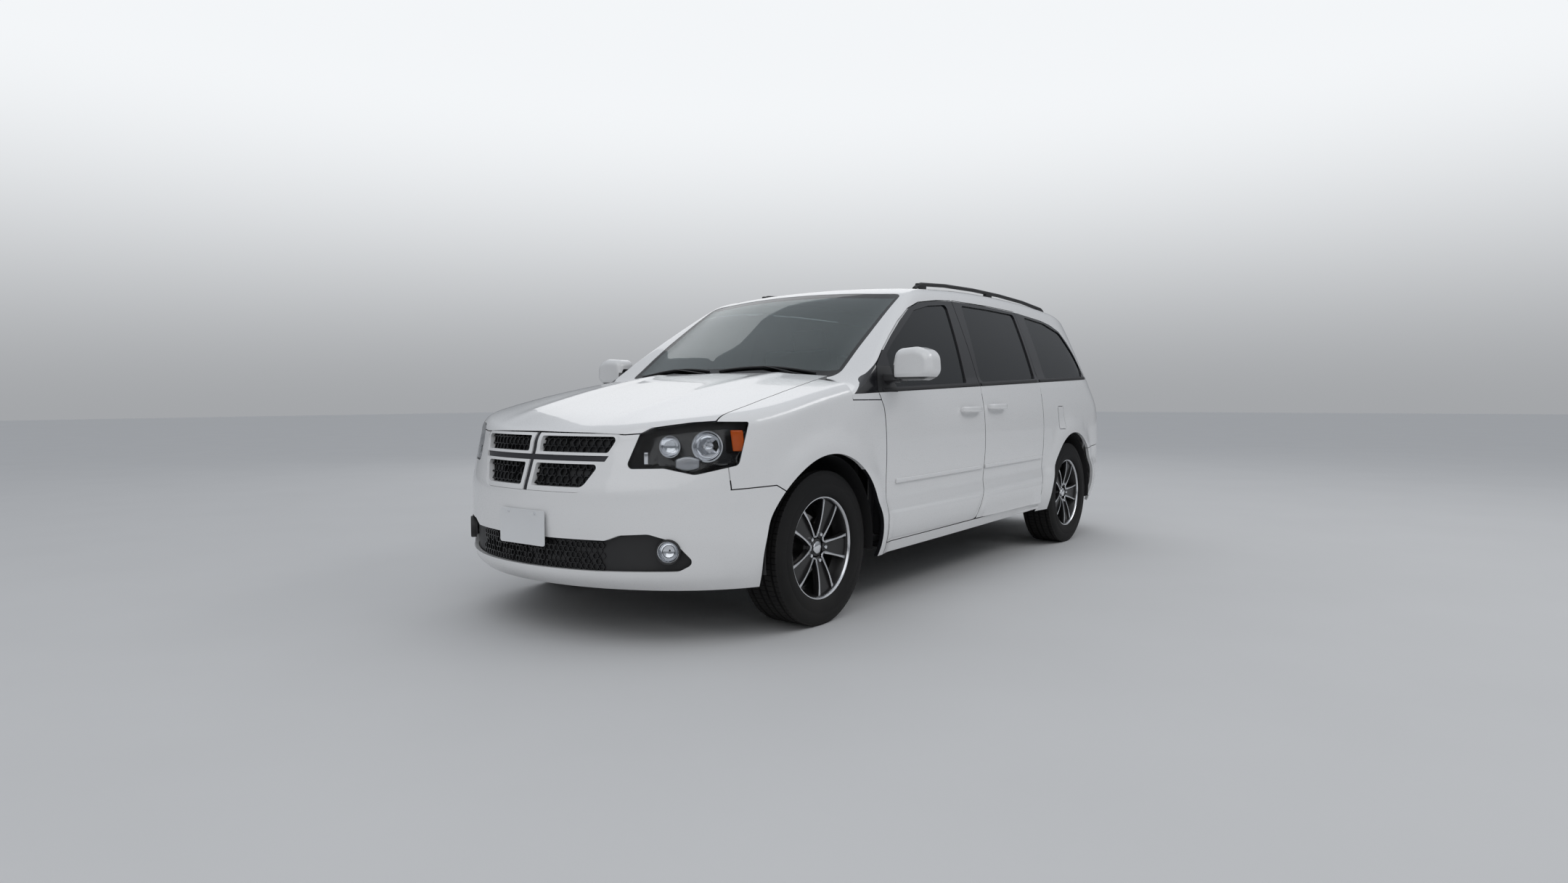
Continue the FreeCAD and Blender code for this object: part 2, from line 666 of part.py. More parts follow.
# Front bumper with its openings.
GRILLE = [(-466, 893, 24), (466, 893, 24), (330, 646, 70), (-330, 646, 70)]
LOWER_GRILLE = [(-752, 362, 26), (-690, 452, 60), (-600, 483, 60), (-490, 476, 60), (-430, 452, 40),
                (430, 452, 40), (490, 476, 60), (600, 483, 60), (690, 452, 60), (752, 362, 26),
                (700, 328, 40), (372, 322), (-372, 322), (-700, 328, 40)]
bumper_half = front_skin.common(box(-2700, AXLE_F, -1100, 50, 200, 1000))
bumper_half = bumper_half.cut(side_prism(fender_zone, s.shut_gap)).cut(arch_front)
bumper_half = bumper_half.cut(hood_room).cut(lamp_room)
bumper_half = bumper_half.cut(prism_x(GRILLE, -2700, -2300)).cut(prism_x(LOWER_GRILLE, -2700, -2000))
bumper_half = main_solid(bumper_half)
add("front_bumper", both(bumper_half))

# Grille: four framed openings with a cross between them, over a mesh panel.
grille_depth = thick(offset_grid(front_grid(spread(0, 0.62, 22), 150), -4), -26)
grille_band = both(grille_depth).common(prism_x(grown(GRILLE, -1), -2700, -2300))
UPPER_CELL = [(36, 880, 10), (438, 880, 16), (404, 812, 16), (36, 812, 10)]
LOWER_CELL = [(36, 764, 10), (378, 764, 16), (318, 668, 40), (36, 668, 10)]
cells = []
for cell in (UPPER_CELL, LOWER_CELL):
    cells.append(prism_x(cell, -2700, -2300))
    cells.append(prism_x([(-p[0],) + p[1:] for p in cell], -2700, -2300))
cross = box(-2700, -2300, -14, 14, 640, 900).fuse(box(-2700, -2300, -480, 480, 776, 800))
surround = grille_band.cut(Part.makeCompound(cells)).cut(cross)
add("grille", surround)
cross_skin = thick(offset_grid(front_grid(spread(0, 0.62, 22), 150), -10), -23.6)
add("grille_cross", both(cross_skin).common(prism_x(grown(GRILLE, -2), -2700, -2300)).common(
    box(-2700, -2300, -13.5, 13.5, 640, 900).fuse(box(-2700, -2300, -480, 480, 776.5, 799.5))))
mesh_skin = thick(offset_grid(front_grid(spread(0, 0.62, 22), 150), -34), -6)
add("grille_mesh", both(mesh_skin).common(prism_x(grown(GRILLE, -2), -2700, -2300)))

# Lower grille with the fog lamps.
lower_skin = thick(offset_grid(front_grid(spread(0, 0.8, 26), 150), -26), -14)
lower_grille = both(lower_skin).common(prism_x(grown(LOWER_GRILLE, 8), -2700, -1950))
fog_holes = []
fog_lamps = []
for side in (-1, 1):
    centre = Vector(-2371, side * 671, 410)
    outwards = Vector(-0.82, side * 0.57, 0).normalize()
    fog_holes.append(Part.makeCylinder(47, 160, centre - outwards * 100, outwards))
    fog_lamps.append(Part.makeCylinder(46, 60, centre - outwards * 62, outwards))
add("lower_grille", lower_grille.cut(Part.makeCompound(fog_holes)))
add("fog_lamps", Part.makeCompound(fog_lamps))

# Headlamps: a lens that follows the body, over a closed housing.
lamp_lens = front_skin.common(prism_slant([(p[0], p[1], p[2]) + tuple(p[3:]) for p in LAMP], LAMP_ANGLE, 400))
pair("headlamp", main_solid(lamp_lens.cut(hood_room)))

# Windscreen, laid into its opening in the cabin skin.
def screen_top(y):
    return -560 + 62 * (abs(y) / 690) ** 2


SCREEN_WIDE = ((0.0, 738), (0.5, 726), (1.0, 690))


def screen_plan(gap):
    """Windscreen outline from above; a positive gap opens it."""
    lower = [(screen_base(y) - gap, y) for y in (0, 250, 500)] + [(screen_base(738) - gap, 738 + gap, 60)]
    upper = [(-900, 722 + gap), (screen_top(690) + gap, 690 + gap, 50)]
    upper += [(screen_top(y) + gap, y) for y in (500, 250, 0)]
    half = lower + upper
    rest = [(p[0], -p[1]) + tuple(p[2:]) for p in reversed(half[1:-1])]
    return half + rest


def top_slab(x0, x1, half_width, sink, depth, columns=40):
    """Slab under the roof and windscreen surface, sunk and of a given upright depth."""
    grid = [[Vector(x, y, roof_z(x, y) - sink) for y in spread(-half_width, half_width, 31)]
            for x in spread(x0, x1, columns)]
    return patch(grid).extrude(Vector(0, 0, -depth))


screen_slab = top_slab(-1420, -420, 800, 3, 7)
add("windscreen", main_solid(screen_slab.common(prism_z(screen_plan(-0.5), 1000, 1700))))

# Roof panel between the rails.
ROOF_HALF = 560


def roof_plan(gap):
    return [(screen_top(0) + 40 - gap, 0), (screen_top(300) + 42 - gap, ROOF_HALF - 200),
            (screen_top(500) + 46 - gap, ROOF_HALF + gap, 60), (s.gate_front - s.gate_gap + gap, ROOF_HALF + gap - 70),
            (s.gate_front - s.gate_gap + gap, -ROOF_HALF - gap + 70),
            (screen_top(500) + 46 - gap, -ROOF_HALF - gap, 60), (screen_top(300) + 42 - gap, -ROOF_HALF + 200)]


roof_slab = top_slab(-700, 2300, 640, 0, 20)
add("roof_panel", main_solid(roof_slab.common(prism_z(roof_plan(-0.5), 1400, 1900))))

# Body side: pillars, cant rail, quarter panel and sill in one piece with its door openings.
gate_outline = [(0, 566), (690, 566, 40), (728, 700, 100), (742, 1000, 200), (722, 1180, 100), (640, 1420, 200),
                (520, 1586, 60), (430, 1750), (0, 1750)]


def gate_zone(gap):
    half = grown(gate_outline, gap)
    half[0] = (0, half[0][1])
    half[-1] = (0, half[-1][1])
    rest = [(-p[0],) + tuple(p[1:]) for p in reversed(half[1:-1])]
    return prism_x(half + rest, 1900, 2700)


SEAM = 1100.0
wall_zone = patch([[p - Vector(0, 30, 0) for p in column] for column in full_side(spread(-1320, 1100, 70))])
wall_zone = wall_zone.extrude(Vector(0, 72, 0))
upper_side = cabin_skin.cut(box(s.slide_rear - 30, 2400, -1100, 100, 900, SEAM))
upper_side = upper_side.cut(prism_z(screen_plan(0), 900, 1800)).cut(prism_z(roof_plan(0), 1350, 1900))
upper_side = upper_side.cut(wall_zone.common(side_prism(door_line, s.shut_gap)))
upper_side = upper_side.cut(wall_zone.common(side_prism(slide_line, s.shut_gap)))
upper_side = upper_side.cut(side_prism(quarter_window))
upper_side = main_solid(upper_side)
gate_room = gate_zone(s.shut_gap)
lamp_zone = [(2130, 1076, 20), (2420, 1092), (2420, 800), (2255, 806, 40)]
lamp_cut = prism_y(grown(lamp_zone, 2), -1000, -500)
fuel_zone = [(1197, 819, 14), (1298, 819, 14), (1298, 972, 14), (1197, 972, 14)]
bumper_zone = [(1560, 100), (1560, 640), (1720, 655), (2160, 680), (2700, 668), (2700, 100)]
bumper_cut = side_prism(grown(bumper_zone, s.shut_gap), 0, -1100, 100)
CORNER = 2240.0
quarter = quarter_skin.common(box(s.slide_rear - 20, CORNER, -1100, -300, s.sill_bottom, SEAM))
quarter = quarter.cut(side_prism(slide_line, s.shut_gap)).cut(arch_rear)
quarter = main_solid(quarter.cut(bumper_cut).cut(lamp_cut))
corner = tail_skin.common(box(CORNER, 2700, -1100, -300, 300, 1500)).cut(gate_room)
corner = corner.cut(bumper_cut).cut(lamp_cut)
corner.translate(Vector(0, 0.8, 0))
sill = side_slab.common(side_prism([(-1184, s.sill_bottom), (s.slide_rear - 6, s.sill_bottom + 30),
                                    (s.slide_rear - 6, s.door_bottom + 22), (-115, s.door_bottom + 9),
                                    (-1184, s.door_bottom - 3)]))
sill = main_solid(sill).common(box(-1133, 900, -1100, -500, 200, 400))
sill_box = box(-1133, s.slide_rear, -935, -740, 296, 312).fuse(box(-1133, s.slide_rear, -858, -740, 296, 352))
post_low = box(-150, 60, CASING_IN - s.seat_gap + 0.6, -800, 300, 1150)
post_grid = [[Vector(-75 + 115 * i / 3, -glass_half(0, z) + 52, z) for z in spread(1128, 1622, 6)] for i in range(4)]
post_high = patch(post_grid).extrude(Vector(0, 42, 0))
pillar_a = box(-1133, -1062, -858, -800, 296, 1060)
body_side = upper_side
for piece in (quarter, corner, sill, sill_box, post_low, post_high, pillar_a):
    body_side = body_side.fuse(piece)
body_side = body_side.removeSplitter()

# Fuel flap in the driver's side quarter panel, over a closed filler pot.
flap_room = side_prism(fuel_zone, s.shut_gap, -1100, -900)
flap_face = patch(full_side(spread(1150, 1350, 12), 1500))
add("fuel_flap", main_solid(flap_face.extrude(Vector(0, s.flap_depth, 0)).common(side_prism(fuel_zone))))
flap_face.translate(Vector(0, s.panel_depth - 3, 0))
flap_back = main_solid(flap_face.extrude(Vector(0, 14, 0)).common(side_prism(fuel_zone, s.shut_gap + 10)))
add("body_side_left", body_side.cut(flap_room).fuse(flap_back))
add("body_side_right", mirrored(body_side))

# Tail lamps set in the rear corners.
lamp_skin = tail_skin.common(prism_y(lamp_zone, -1000, -500))
tail_lamp = main_solid(lamp_skin.cut(gate_room))
add("tail_lamps", Part.makeCompound([tail_lamp, mirrored(tail_lamp)]))

# Rear bumper.
BUMPER_JOIN = 2010.0
bumper_rear = tail_skin.common(side_prism(bumper_zone, 0, -1100, 50)).common(
    box(BUMPER_JOIN, 2700, -1100, 100, 100, 800)).cut(gate_room)
bumper_side = quarter_skin.common(side_prism(bumper_zone, 0, -1100, -500)).common(
    box(1500, BUMPER_JOIN, -1100, -500, 100, 800)).cut(arch_rear)
bumper_half = main_solid(bumper_rear).fuse(main_solid(bumper_side))
add("rear_bumper", both(bumper_half))

# Tailgate with its window and roof edge.
gate_thick = thick(tail_grid(spread(0, 1, 30), s.body_bottom, 1640), -s.frame_depth)
gate_window = [(0, 1168), (640, 1168, 70), (560, 1400), (478, 1520, 70), (0, 1548)]
window_half = gate_window[1:-1]
window_full = window_half + [(-p[0],) + tuple(p[1:]) for p in reversed(window_half)]
gate = gate_thick.common(gate_zone(0)).common(box(s.gate_front, 2700, -900, 50, 300, 1570))
gate = main_solid(gate.cut(prism_x(window_full, 2100, 2700)))
gate = both(gate)
edge_turns = spread(0.12, 1, 14)
edge_half = [corner_point(turn, 1598) for turn in edge_turns]
edge_plan = [(s.gate_front, edge_half[0].y)] + [(p.x, p.y) for p in edge_half if p.x > s.gate_front + 4]
first = edge_plan[1]
edge_plan[0] = (s.gate_front, first[1] - (first[0] - s.gate_front) * 0.9)
edge_plan += [(x, -y) for x, y in reversed(edge_plan[:-1])]
roof_edge = top_slab(s.gate_front - 6, 2420, 640, 0, 58, 12).common(prism_z(edge_plan, 1400, 1800))
roof_edge = roof_edge.common(gate_zone(0))
gate = gate.fuse(main_solid(roof_edge))
add("tailgate", gate)
glass_tail = thick(offset_grid(tail_grid(spread(0.2, 1, 24), 1000, 1640), -8), -6)
tail_glass = both(glass_tail).common(prism_x(grown(window_full, -0.5), 2100, 2700))
add("tailgate_glass", tail_glass)


# Cowl between the hood and the windscreen.
cowl_top = [[Vector(x, y, roof_z(x, y) - 14) for y in spread(-760, 760, 25)] for x in spread(-1400, -1180, 10)]
cowl_slab = patch(cowl_top).extrude(Vector(0, 0, -46))
cowl_plan = [(hood_rear(y) + 12, -y) for y in (690, 500, 250, 0)]
cowl_plan += [(x, -y) for x, y in reversed(cowl_plan[:-1])]
cowl_plan += [(min(screen_base(y) - 1, -1260), y) for y in (690, 500, 250, 0, -250, -500, -690)]
add("cowl_panel", main_solid(cowl_slab.common(prism_z(cowl_plan, 1000, 1400))))

# Floor, front bulkhead, longitudinal rails and the seats for the latches.
FLOOR_Z = s.floor_height
SILL_IN = 740.0
floor_half = SILL_IN - s.seat_gap
floor = box(s.door_front, AXLE_R - s.arch_radius - 20, -floor_half, floor_half, FLOOR_Z - s.floor_depth, FLOOR_Z)
FLOOR_STEP = AXLE_R - s.arch_radius - 20
REAR_FLOOR = FLOOR_Z + 80
floor = floor.fuse([box(FLOOR_STEP, 2380, -650, 650, REAR_FLOOR - s.floor_depth, REAR_FLOOR),
                    box(FLOOR_STEP - 20, FLOOR_STEP, -650, 650, FLOOR_Z, REAR_FLOOR)])
bulkhead = box(-1160, -1133, -800, 800, FLOOR_Z - s.floor_depth, 1070)
rails_low = [box(-2260, -1133, side * 430 - 35, side * 430 + 35, FLOOR_Z - s.floor_depth, FLOOR_Z + 60)
             for side in (-1, 1)]
front_beam = box(-2330, -2260, -480, 480, FLOOR_Z - 40, FLOOR_Z + 60)
rear_beam = box(2340, 2400, -600, 600, FLOOR_Z - 40, FLOOR_Z + 200)
floor_pan = floor.fuse([bulkhead, front_beam, rear_beam] + rails_low)
add("floor_pan", floor_pan)

# Powertrain as one closed block, and what stands around it.
add("engine", box(-2080, -1400, -330, 380, FLOOR_Z, 900))
radiator = box(-2330, -2270, -380, 380, FLOOR_Z + 60, 860)
latch = box(-2320, -2280, -30, 30, 860, 930)
add("radiator", radiator.fuse(latch))
add("front_subframe", box(-1760, -1480, -470, 470, 260, FLOOR_Z - s.floor_depth))
AXLE_END = s.track_rear / 2 - 48 - s.seat_gap
rear_axle = tube_y(AXLE_R, HUB, 38, -AXLE_END, AXLE_END)
arms = []
for side in (-1, 1):
    y = side * 560
    arms.append(box(960, AXLE_R, y - 25, y + 25, 285, FLOOR_Z - s.floor_depth - s.seat_gap))
    arms.append(box(FLOOR_STEP + 5, AXLE_R, y - 25, y + 25, 290, 345))
add("rear_axle", rear_axle.fuse(arms))
add("fuel_tank", box(-100, 800, -600, 60, 215, FLOOR_Z - s.floor_depth))
exhaust = Part.makeCylinder(32, 1900, Vector(-1100, 250, 285), Vector(1, 0, 0))
hangers = [box(x, x + 20, 240, 260, 300, FLOOR_Z - s.floor_depth) for x in (-900, 300)]
add("exhaust", exhaust.fuse(hangers))

# Cabin.
add("dashboard", box(-1100, -760, -760, 760, 760, 1020))
add("steering_wheel", Part.makeTorus(185, 15, Vector(-640, -380, 960), Vector(-0.9, 0, 0.45)))


def seat(x, y, width, floor_z):
    cushion = box(x, x + 520, y - width / 2, y + width / 2, floor_z + 240, floor_z + 400)
    plinth = box(x + 60, x + 460, y - width / 2 + 60, y + width / 2 - 60, floor_z, floor_z + 240)
    back = prism_y([(x + 430, floor_z + 400), (x + 560, floor_z + 400), (x + 700, floor_z + 980, 30),
                    (x + 590, floor_z + 980, 30)], y - width / 2, y + width / 2)
    return cushion.fuse([plinth, back])


add("front_seats", Part.makeCompound([seat(-560, -380, 500, s.floor_height), seat(-560, 380, 500, s.floor_height)]))
add("middle_seats", Part.makeCompound([seat(330, -380, 500, s.floor_height), seat(330, 380, 500, s.floor_height)]))
add("rear_seat", seat(1330, 0, 1150, REAR_FLOOR))


# Wheels: tyre, rim with ten spokes in five pairs, disc.
def tyre(x, y, side):
    outer = s.tyre_width / 2
    profile = [(s.rim_radius, -outer + 16), (s.rim_radius + 60, -outer, 40), (s.tyre_radius, -outer + 6, 22),
               (s.tyre_radius, outer - 6, 22), (s.rim_radius + 60, outer, 40), (s.rim_radius, outer - 16)]
    face = Part.Face(rounded_wire(profile, lambda p: Vector(x, y + p.y, HUB + p.x)))
    return face.revolve(Vector(x, y, HUB), Vector(0, 1, 0), 360)


def wheel(x, y, side):
    """Rim and spokes; side is -1 for the driver's side."""
    out = s.rim_width / 2 * side
    barrel = tube_y(0, 0, s.rim_radius - 0.3, -s.rim_width / 2, s.rim_width / 2)
    barrel = barrel.cut(tube_y(0, 0, s.rim_radius - 14, -s.rim_width, s.rim_width))
    face_y = out - side * 18
    disc_y0, disc_y1 = sorted((face_y, face_y - side * s.spoke_thickness))
    spider = tube_y(0, 0, s.rim_radius - 6, disc_y0, disc_y1)
    holes = []
    for k in range(5):
        base = k * 72.0
        for start, stop in ((base + 5, base + 31), (base + 41, base + 67)):
            inner = 78
            outer = s.rim_radius - 16
            a0, a1 = math.radians(start), math.radians(stop)
            am = (a0 + a1) / 2
            pinch = 0.42
            b0, b1 = am + (a0 - am) * pinch, am + (a1 - am) * pinch
            ring = [(inner * math.cos(b0), inner * math.sin(b0), 6), (outer * math.cos(a0), outer * math.sin(a0), 10),
                    (outer * 1.06 * math.cos(am), outer * 1.06 * math.sin(am)),
                    (outer * math.cos(a1), outer * math.sin(a1), 10), (inner * math.cos(b1), inner * math.sin(b1), 6)]
            holes.append(prism_y(ring, disc_y0 - 5, disc_y1 + 5))
    spider = spider.cut(Part.makeCompound(holes))
    hub_y0, hub_y1 = sorted((face_y, -side * 20))
    hub = tube_y(0, 0, s.hub_radius, hub_y0, hub_y1)
    shape = barrel.fuse([spider, hub])
    shape.translate(Vector(x, y, HUB))
    return shape


def brake_disc(x, y, side):
    y0, y1 = sorted((y - side * 20, y - side * 48))
    shape = tube_y(x, HUB, 150, y0, y1)
    return shape


def knuckle(x, y, side):
    y0, y1 = sorted((y - side * (48 + s.seat_gap), y - side * 150))
    hub = tube_y(x, HUB, 45, y0, y1)
    strut = Part.makeCylinder(28, 380, Vector(x, y - side * 150, HUB + 20), Vector(0, -side * 0.1, 1))
    return hub.fuse(strut)


for end, axle, track in (("front", AXLE_F, s.track_front), ("rear", AXLE_R, s.track_rear)):
    for name, side in (("left", -1), ("right", 1)):
        y = side * track / 2
        add("tyre_%s_%s" % (end, name), tyre(axle, y, side))
        add("wheel_%s_%s" % (end, name), wheel(axle, y, side).fuse(brake_disc(axle, y, side)))
        if end == "front":
            add("knuckle_%s" % name, knuckle(axle, y, side))

# Roof rails: a rounded bar on three feet.
RAIL_Y = 585
rail_xs = (-60, 830, 1720)
rails = []
for side in (-1, 1):
    points = [Vector(x, side * RAIL_Y, roof_z(x, RAIL_Y) + 30) for x in (-140, 400, 900, 1400, 1800)]
    grid = [[p + Vector(0, -14, -9) for p in points], [p + Vector(0, 14, -9) for p in points]]
    bar = patch(grid).extrude(Vector(0, 0, 18))
    feet = []
    for x in rail_xs:
        foot_z = max(roof_z(x - 40, RAIL_Y - 12), roof_z(x + 40, RAIL_Y - 12)) + 0.8
        feet.append(box(x - 40, x + 40, side * RAIL_Y - 12, side * RAIL_Y + 12, foot_z, foot_z + 26))
    rails.append(bar.fuse(feet))
add("roof_rails", Part.makeCompound(rails))

# Wipers lying along the base of the windscreen.
wipers = []
for pivot, tip in ((-560, 120), (140, 700)):
    grid = []
    for t in spread(0, 1, 8):
        y = pivot + (tip - pivot) * t
        x = screen_base(y) - 4 + 26 * math.sin(math.pi * t)
        grid.append([Vector(x - 7, y, roof_z(x, y) + 8), Vector(x + 7, y, roof_z(x, y) + 8)])
    wipers.append(patch(grid).extrude(Vector(0, 0, 9)))
add("wipers", Part.makeCompound(wipers))

doc.recompute()
os.makedirs("parts", exist_ok=True)
for item in doc.Objects:
    if "Invalid" in item.State or "Error" in item.State:
        raise RuntimeError("%s has failed" % item.Label)
for name, item in nodes.items():
    shape = item.Shape
    if shape.isNull() or not shape.isValid() or not shape.Solids:
        raise RuntimeError("%s is not a valid solid" % name)
for name, item in nodes.items():
    item.Shape.exportStep("parts/%s.step" % name)
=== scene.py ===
import math
import bmesh
import bpy
from mathutils import Matrix, Vector
from mathutils.bvhtree import BVHTree


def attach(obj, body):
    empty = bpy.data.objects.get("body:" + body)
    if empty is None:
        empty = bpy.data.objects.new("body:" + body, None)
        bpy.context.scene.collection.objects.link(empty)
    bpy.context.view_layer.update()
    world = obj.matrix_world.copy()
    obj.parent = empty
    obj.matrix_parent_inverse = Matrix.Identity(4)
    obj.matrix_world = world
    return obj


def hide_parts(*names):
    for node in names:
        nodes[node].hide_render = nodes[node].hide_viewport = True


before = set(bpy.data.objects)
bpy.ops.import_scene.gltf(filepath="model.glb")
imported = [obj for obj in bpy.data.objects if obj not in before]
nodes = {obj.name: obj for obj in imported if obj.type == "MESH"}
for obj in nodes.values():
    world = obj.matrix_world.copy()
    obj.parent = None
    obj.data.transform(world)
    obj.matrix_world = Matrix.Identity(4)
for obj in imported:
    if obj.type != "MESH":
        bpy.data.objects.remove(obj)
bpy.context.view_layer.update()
scene = bpy.context.scene

# Places on the car, in metres, as the part's source has them.
AXLE_FRONT = -1.6225
AXLE_REAR = 1.4555
HUB = 0.354
TRACK_FRONT = 1.650
TRACK_REAR = 1.646
BELT_START = -1.420
BELT_HEIGHT = 1.056
BELT_SLOPE = 0.034
SIDES = ((-1, "left"), (1, "right"))

# End, place along the car, track and inner wall of the wheelhouse.
AXLES = (("front", AXLE_FRONT, TRACK_FRONT, 0.500), ("rear", AXLE_REAR, TRACK_REAR, 0.655))
WHEEL_PLACES = [axle + side for axle in AXLES for side in SIDES]


def belt(x):
    return BELT_HEIGHT + BELT_SLOPE * (x - BELT_START)


# Camera at the photograph's viewpoint.
PHOTO_WIDTH = 2160
FOCAL_PIXELS = 1287.79
CAMERA_PLACE = Vector((-5.1111, -3.3466, 1.0386))
yaw, pitch, roll = (math.radians(angle) for angle in (37.166, -2.657, -0.233))
ahead = Vector((math.cos(yaw) * math.cos(pitch), math.sin(yaw) * math.cos(pitch), math.sin(pitch)))
level = Vector((math.sin(yaw), -math.cos(yaw), 0))
upright = level.cross(ahead)
right = level * math.cos(roll) + upright * math.sin(roll)
up = upright * math.cos(roll) - level * math.sin(roll)
camera_data = bpy.data.cameras.new("camera")
camera_data.sensor_width = 36.0
camera_data.lens = camera_data.sensor_width * FOCAL_PIXELS / PHOTO_WIDTH
camera_data.clip_end = 200.0
camera = bpy.data.objects.new("camera", camera_data)
scene.collection.objects.link(camera)
turn = Matrix((right, up, -ahead)).transposed().to_4x4()
camera.matrix_world = Matrix.Translation(CAMERA_PLACE) @ turn
scene.camera = camera


# Shader helpers.
def math_node(tree, operation, first, second=None, third=None, limit=False):
    node = tree.nodes.new("ShaderNodeMath")
    node.operation = operation
    node.use_clamp = limit
    for socket, value in zip(node.inputs, (first, second, third)):
        if isinstance(value, (int, float)):
            socket.default_value = value
        elif value is not None:
            tree.links.new(value, socket)
    return node.outputs[0]


def below(tree, value, edge):
    return math_node(tree, "LESS_THAN", value, edge)


def above(tree, value, edge):
    return math_node(tree, "GREATER_THAN", value, edge)


def product(tree, *masks):
    """Several masks multiplied together."""
    result = masks[0]
    for mask in masks[1:]:
        result = math_node(tree, "MULTIPLY", result, mask)
    return result


def either(tree, *masks):
    """The highest of several masks."""
    result = masks[0]
    for mask in masks[1:]:
        result = math_node(tree, "MAXIMUM", result, mask)
    return result


def axes_of(tree, vector):
    """X, Y and Z of a place or a direction."""
    node = tree.nodes.new("ShaderNodeSeparateXYZ")
    tree.links.new(vector, node.inputs[0])
    return [node.outputs[axis] for axis in "XYZ"]


def noise(tree, vector, scale, detail=2.0):
    node = tree.nodes.new("ShaderNodeTexNoise")
    node.inputs["Scale"].default_value = scale
    node.inputs["Detail"].default_value = detail
    tree.links.new(vector, node.inputs["Vector"])
    return node.outputs["Fac"]


def smooth_rise(tree, value, start, stop, low, high):
    """A smooth step from low to high between start and stop."""
    node = tree.nodes.new("ShaderNodeMapRange")
    node.interpolation_type = "SMOOTHSTEP"
    for label, number in (("From Min", start), ("From Max", stop), ("To Min", low), ("To Max", high)):
        node.inputs[label].default_value = number
    tree.links.new(value, node.inputs["Value"])
    return node.outputs["Result"]


def new_group(name, values, outputs):
    """A group that reads a Vector and named values and puts out numbers that change over the surface."""
    group = bpy.data.node_groups.new(name, "ShaderNodeTree")
    group.interface.new_socket(name="Vector", in_out="INPUT", socket_type="NodeSocketVector")
    for label, value in values.items():
        socket = group.interface.new_socket(name=label, in_out="INPUT", socket_type="NodeSocketFloat")
        socket.default_value = value
    for label in outputs:
        group.interface.new_socket(name=label, in_out="OUTPUT", socket_type="NodeSocketFloat")
    return group, group.nodes.new("NodeGroupInput").outputs, group.nodes.new("NodeGroupOutput").inputs


# Fine grain: a height for bump and a small change of roughness.
grain_group, grain_in, grain_out = new_group("fine_grain", {"Scale": 900.0, "Base": 0.5, "Spread": 0.1},
                                             ("Height", "Roughness"))
grain_noise = grain_group.nodes.new("ShaderNodeTexNoise")
grain_noise.inputs["Detail"].default_value = 3.0
for label in ("Vector", "Scale"):
    grain_group.links.new(grain_in[label], grain_noise.inputs[label])
swing = math_node(grain_group, "SUBTRACT", grain_noise.outputs["Fac"], 0.5)
swing = math_node(grain_group, "MULTIPLY", swing, grain_in["Spread"])
grain_rough = math_node(grain_group, "ADD", swing, grain_in["Base"], limit=True)
grain_group.links.new(grain_rough, grain_out["Roughness"])
grain_group.links.new(grain_noise.outputs["Fac"], grain_out["Height"])

# Road dust: thicker towards the ground, broken up by noise.
dust_group, dust_in, dust_out = new_group("road_dust", {"Top": 0.6, "Amount": 0.2}, ("Mask",))
dust_height = math_node(dust_group, "DIVIDE", axes_of(dust_group, dust_in["Vector"])[2], dust_in["Top"])
dust_low = math_node(dust_group, "SUBTRACT", 1.0, dust_height, limit=True)
dust_spots = product(dust_group, dust_low, noise(dust_group, dust_in["Vector"], 7.0, 5.0))
dust_mask = math_node(dust_group, "MULTIPLY", dust_spots, dust_in["Amount"], limit=True)
dust_group.links.new(dust_mask, dust_out["Mask"])

# Side glass surround: 1 between the belt line and the roof's edge over the windows.
SURROUND_TOP = [(-1.403, 1.046), (-1.371, 1.062), (-1.112, 1.211), (-0.883, 1.362), (-0.740, 1.447),
                (-0.586, 1.527), (-0.440, 1.572), (-0.200, 1.602), (0.0, 1.614), (0.400, 1.622),
                (1.000, 1.612), (1.400, 1.588), (1.560, 1.566), (1.700, 1.525), (1.800, 1.440),
                (1.875, 1.345), (1.930, 1.220), (1.955, 1.150)]
SURROUND_ENDS = (-1.408, 1.965)
SURROUND_REACH = (0.62, 0.972)
CURVE_START, CURVE_LENGTH, CURVE_BASE = -1.5, 3.6, 1.0
surround_group, surround_in, surround_out = new_group("glass_surround", {}, ("Mask",))
surround_x, surround_y, surround_z = axes_of(surround_group, surround_in["Vector"])
from_start = math_node(surround_group, "SUBTRACT", surround_x, CURVE_START)
curve_node = surround_group.nodes.new("ShaderNodeFloatCurve")
line = curve_node.mapping.curves[0]
line.points[0].location = (0.0, 0.0)
line.points[1].location = (1.0, 0.0)
for x, z in SURROUND_TOP + [(end, CURVE_BASE) for end in SURROUND_ENDS]:
    line.points.new((x - CURVE_START) / CURVE_LENGTH, z - CURVE_BASE)
for point in line.points:
    point.handle_type = "VECTOR"
curve_node.mapping.update()
surround_group.links.new(math_node(surround_group, "DIVIDE", from_start, CURVE_LENGTH),
                         curve_node.inputs["Value"])
top_line = math_node(surround_group, "ADD", curve_node.outputs["Value"], CURVE_BASE)
belt_line = math_node(surround_group, "MULTIPLY_ADD", surround_x, BELT_SLOPE, belt(0) - 0.001)
surround_out_y = math_node(surround_group, "ABSOLUTE", surround_y)
surround_mask = product(surround_group, below(surround_group, surround_z, top_line),
                        above(surround_group, surround_z, belt_line),
                        above(surround_group, surround_out_y, SURROUND_REACH[0]),
                        below(surround_group, surround_out_y, SURROUND_REACH[1]))
surround_group.links.new(surround_mask, surround_out["Mask"])


def use_group(tree, group, vector, **values):
    """Places a group in a material and gives its outputs."""
    node = tree.nodes.new("ShaderNodeGroup")
    node.node_tree = group
    tree.links.new(vector, node.inputs["Vector"])
    for label, value in values.items():
        node.inputs[label].default_value = value
    return node.outputs


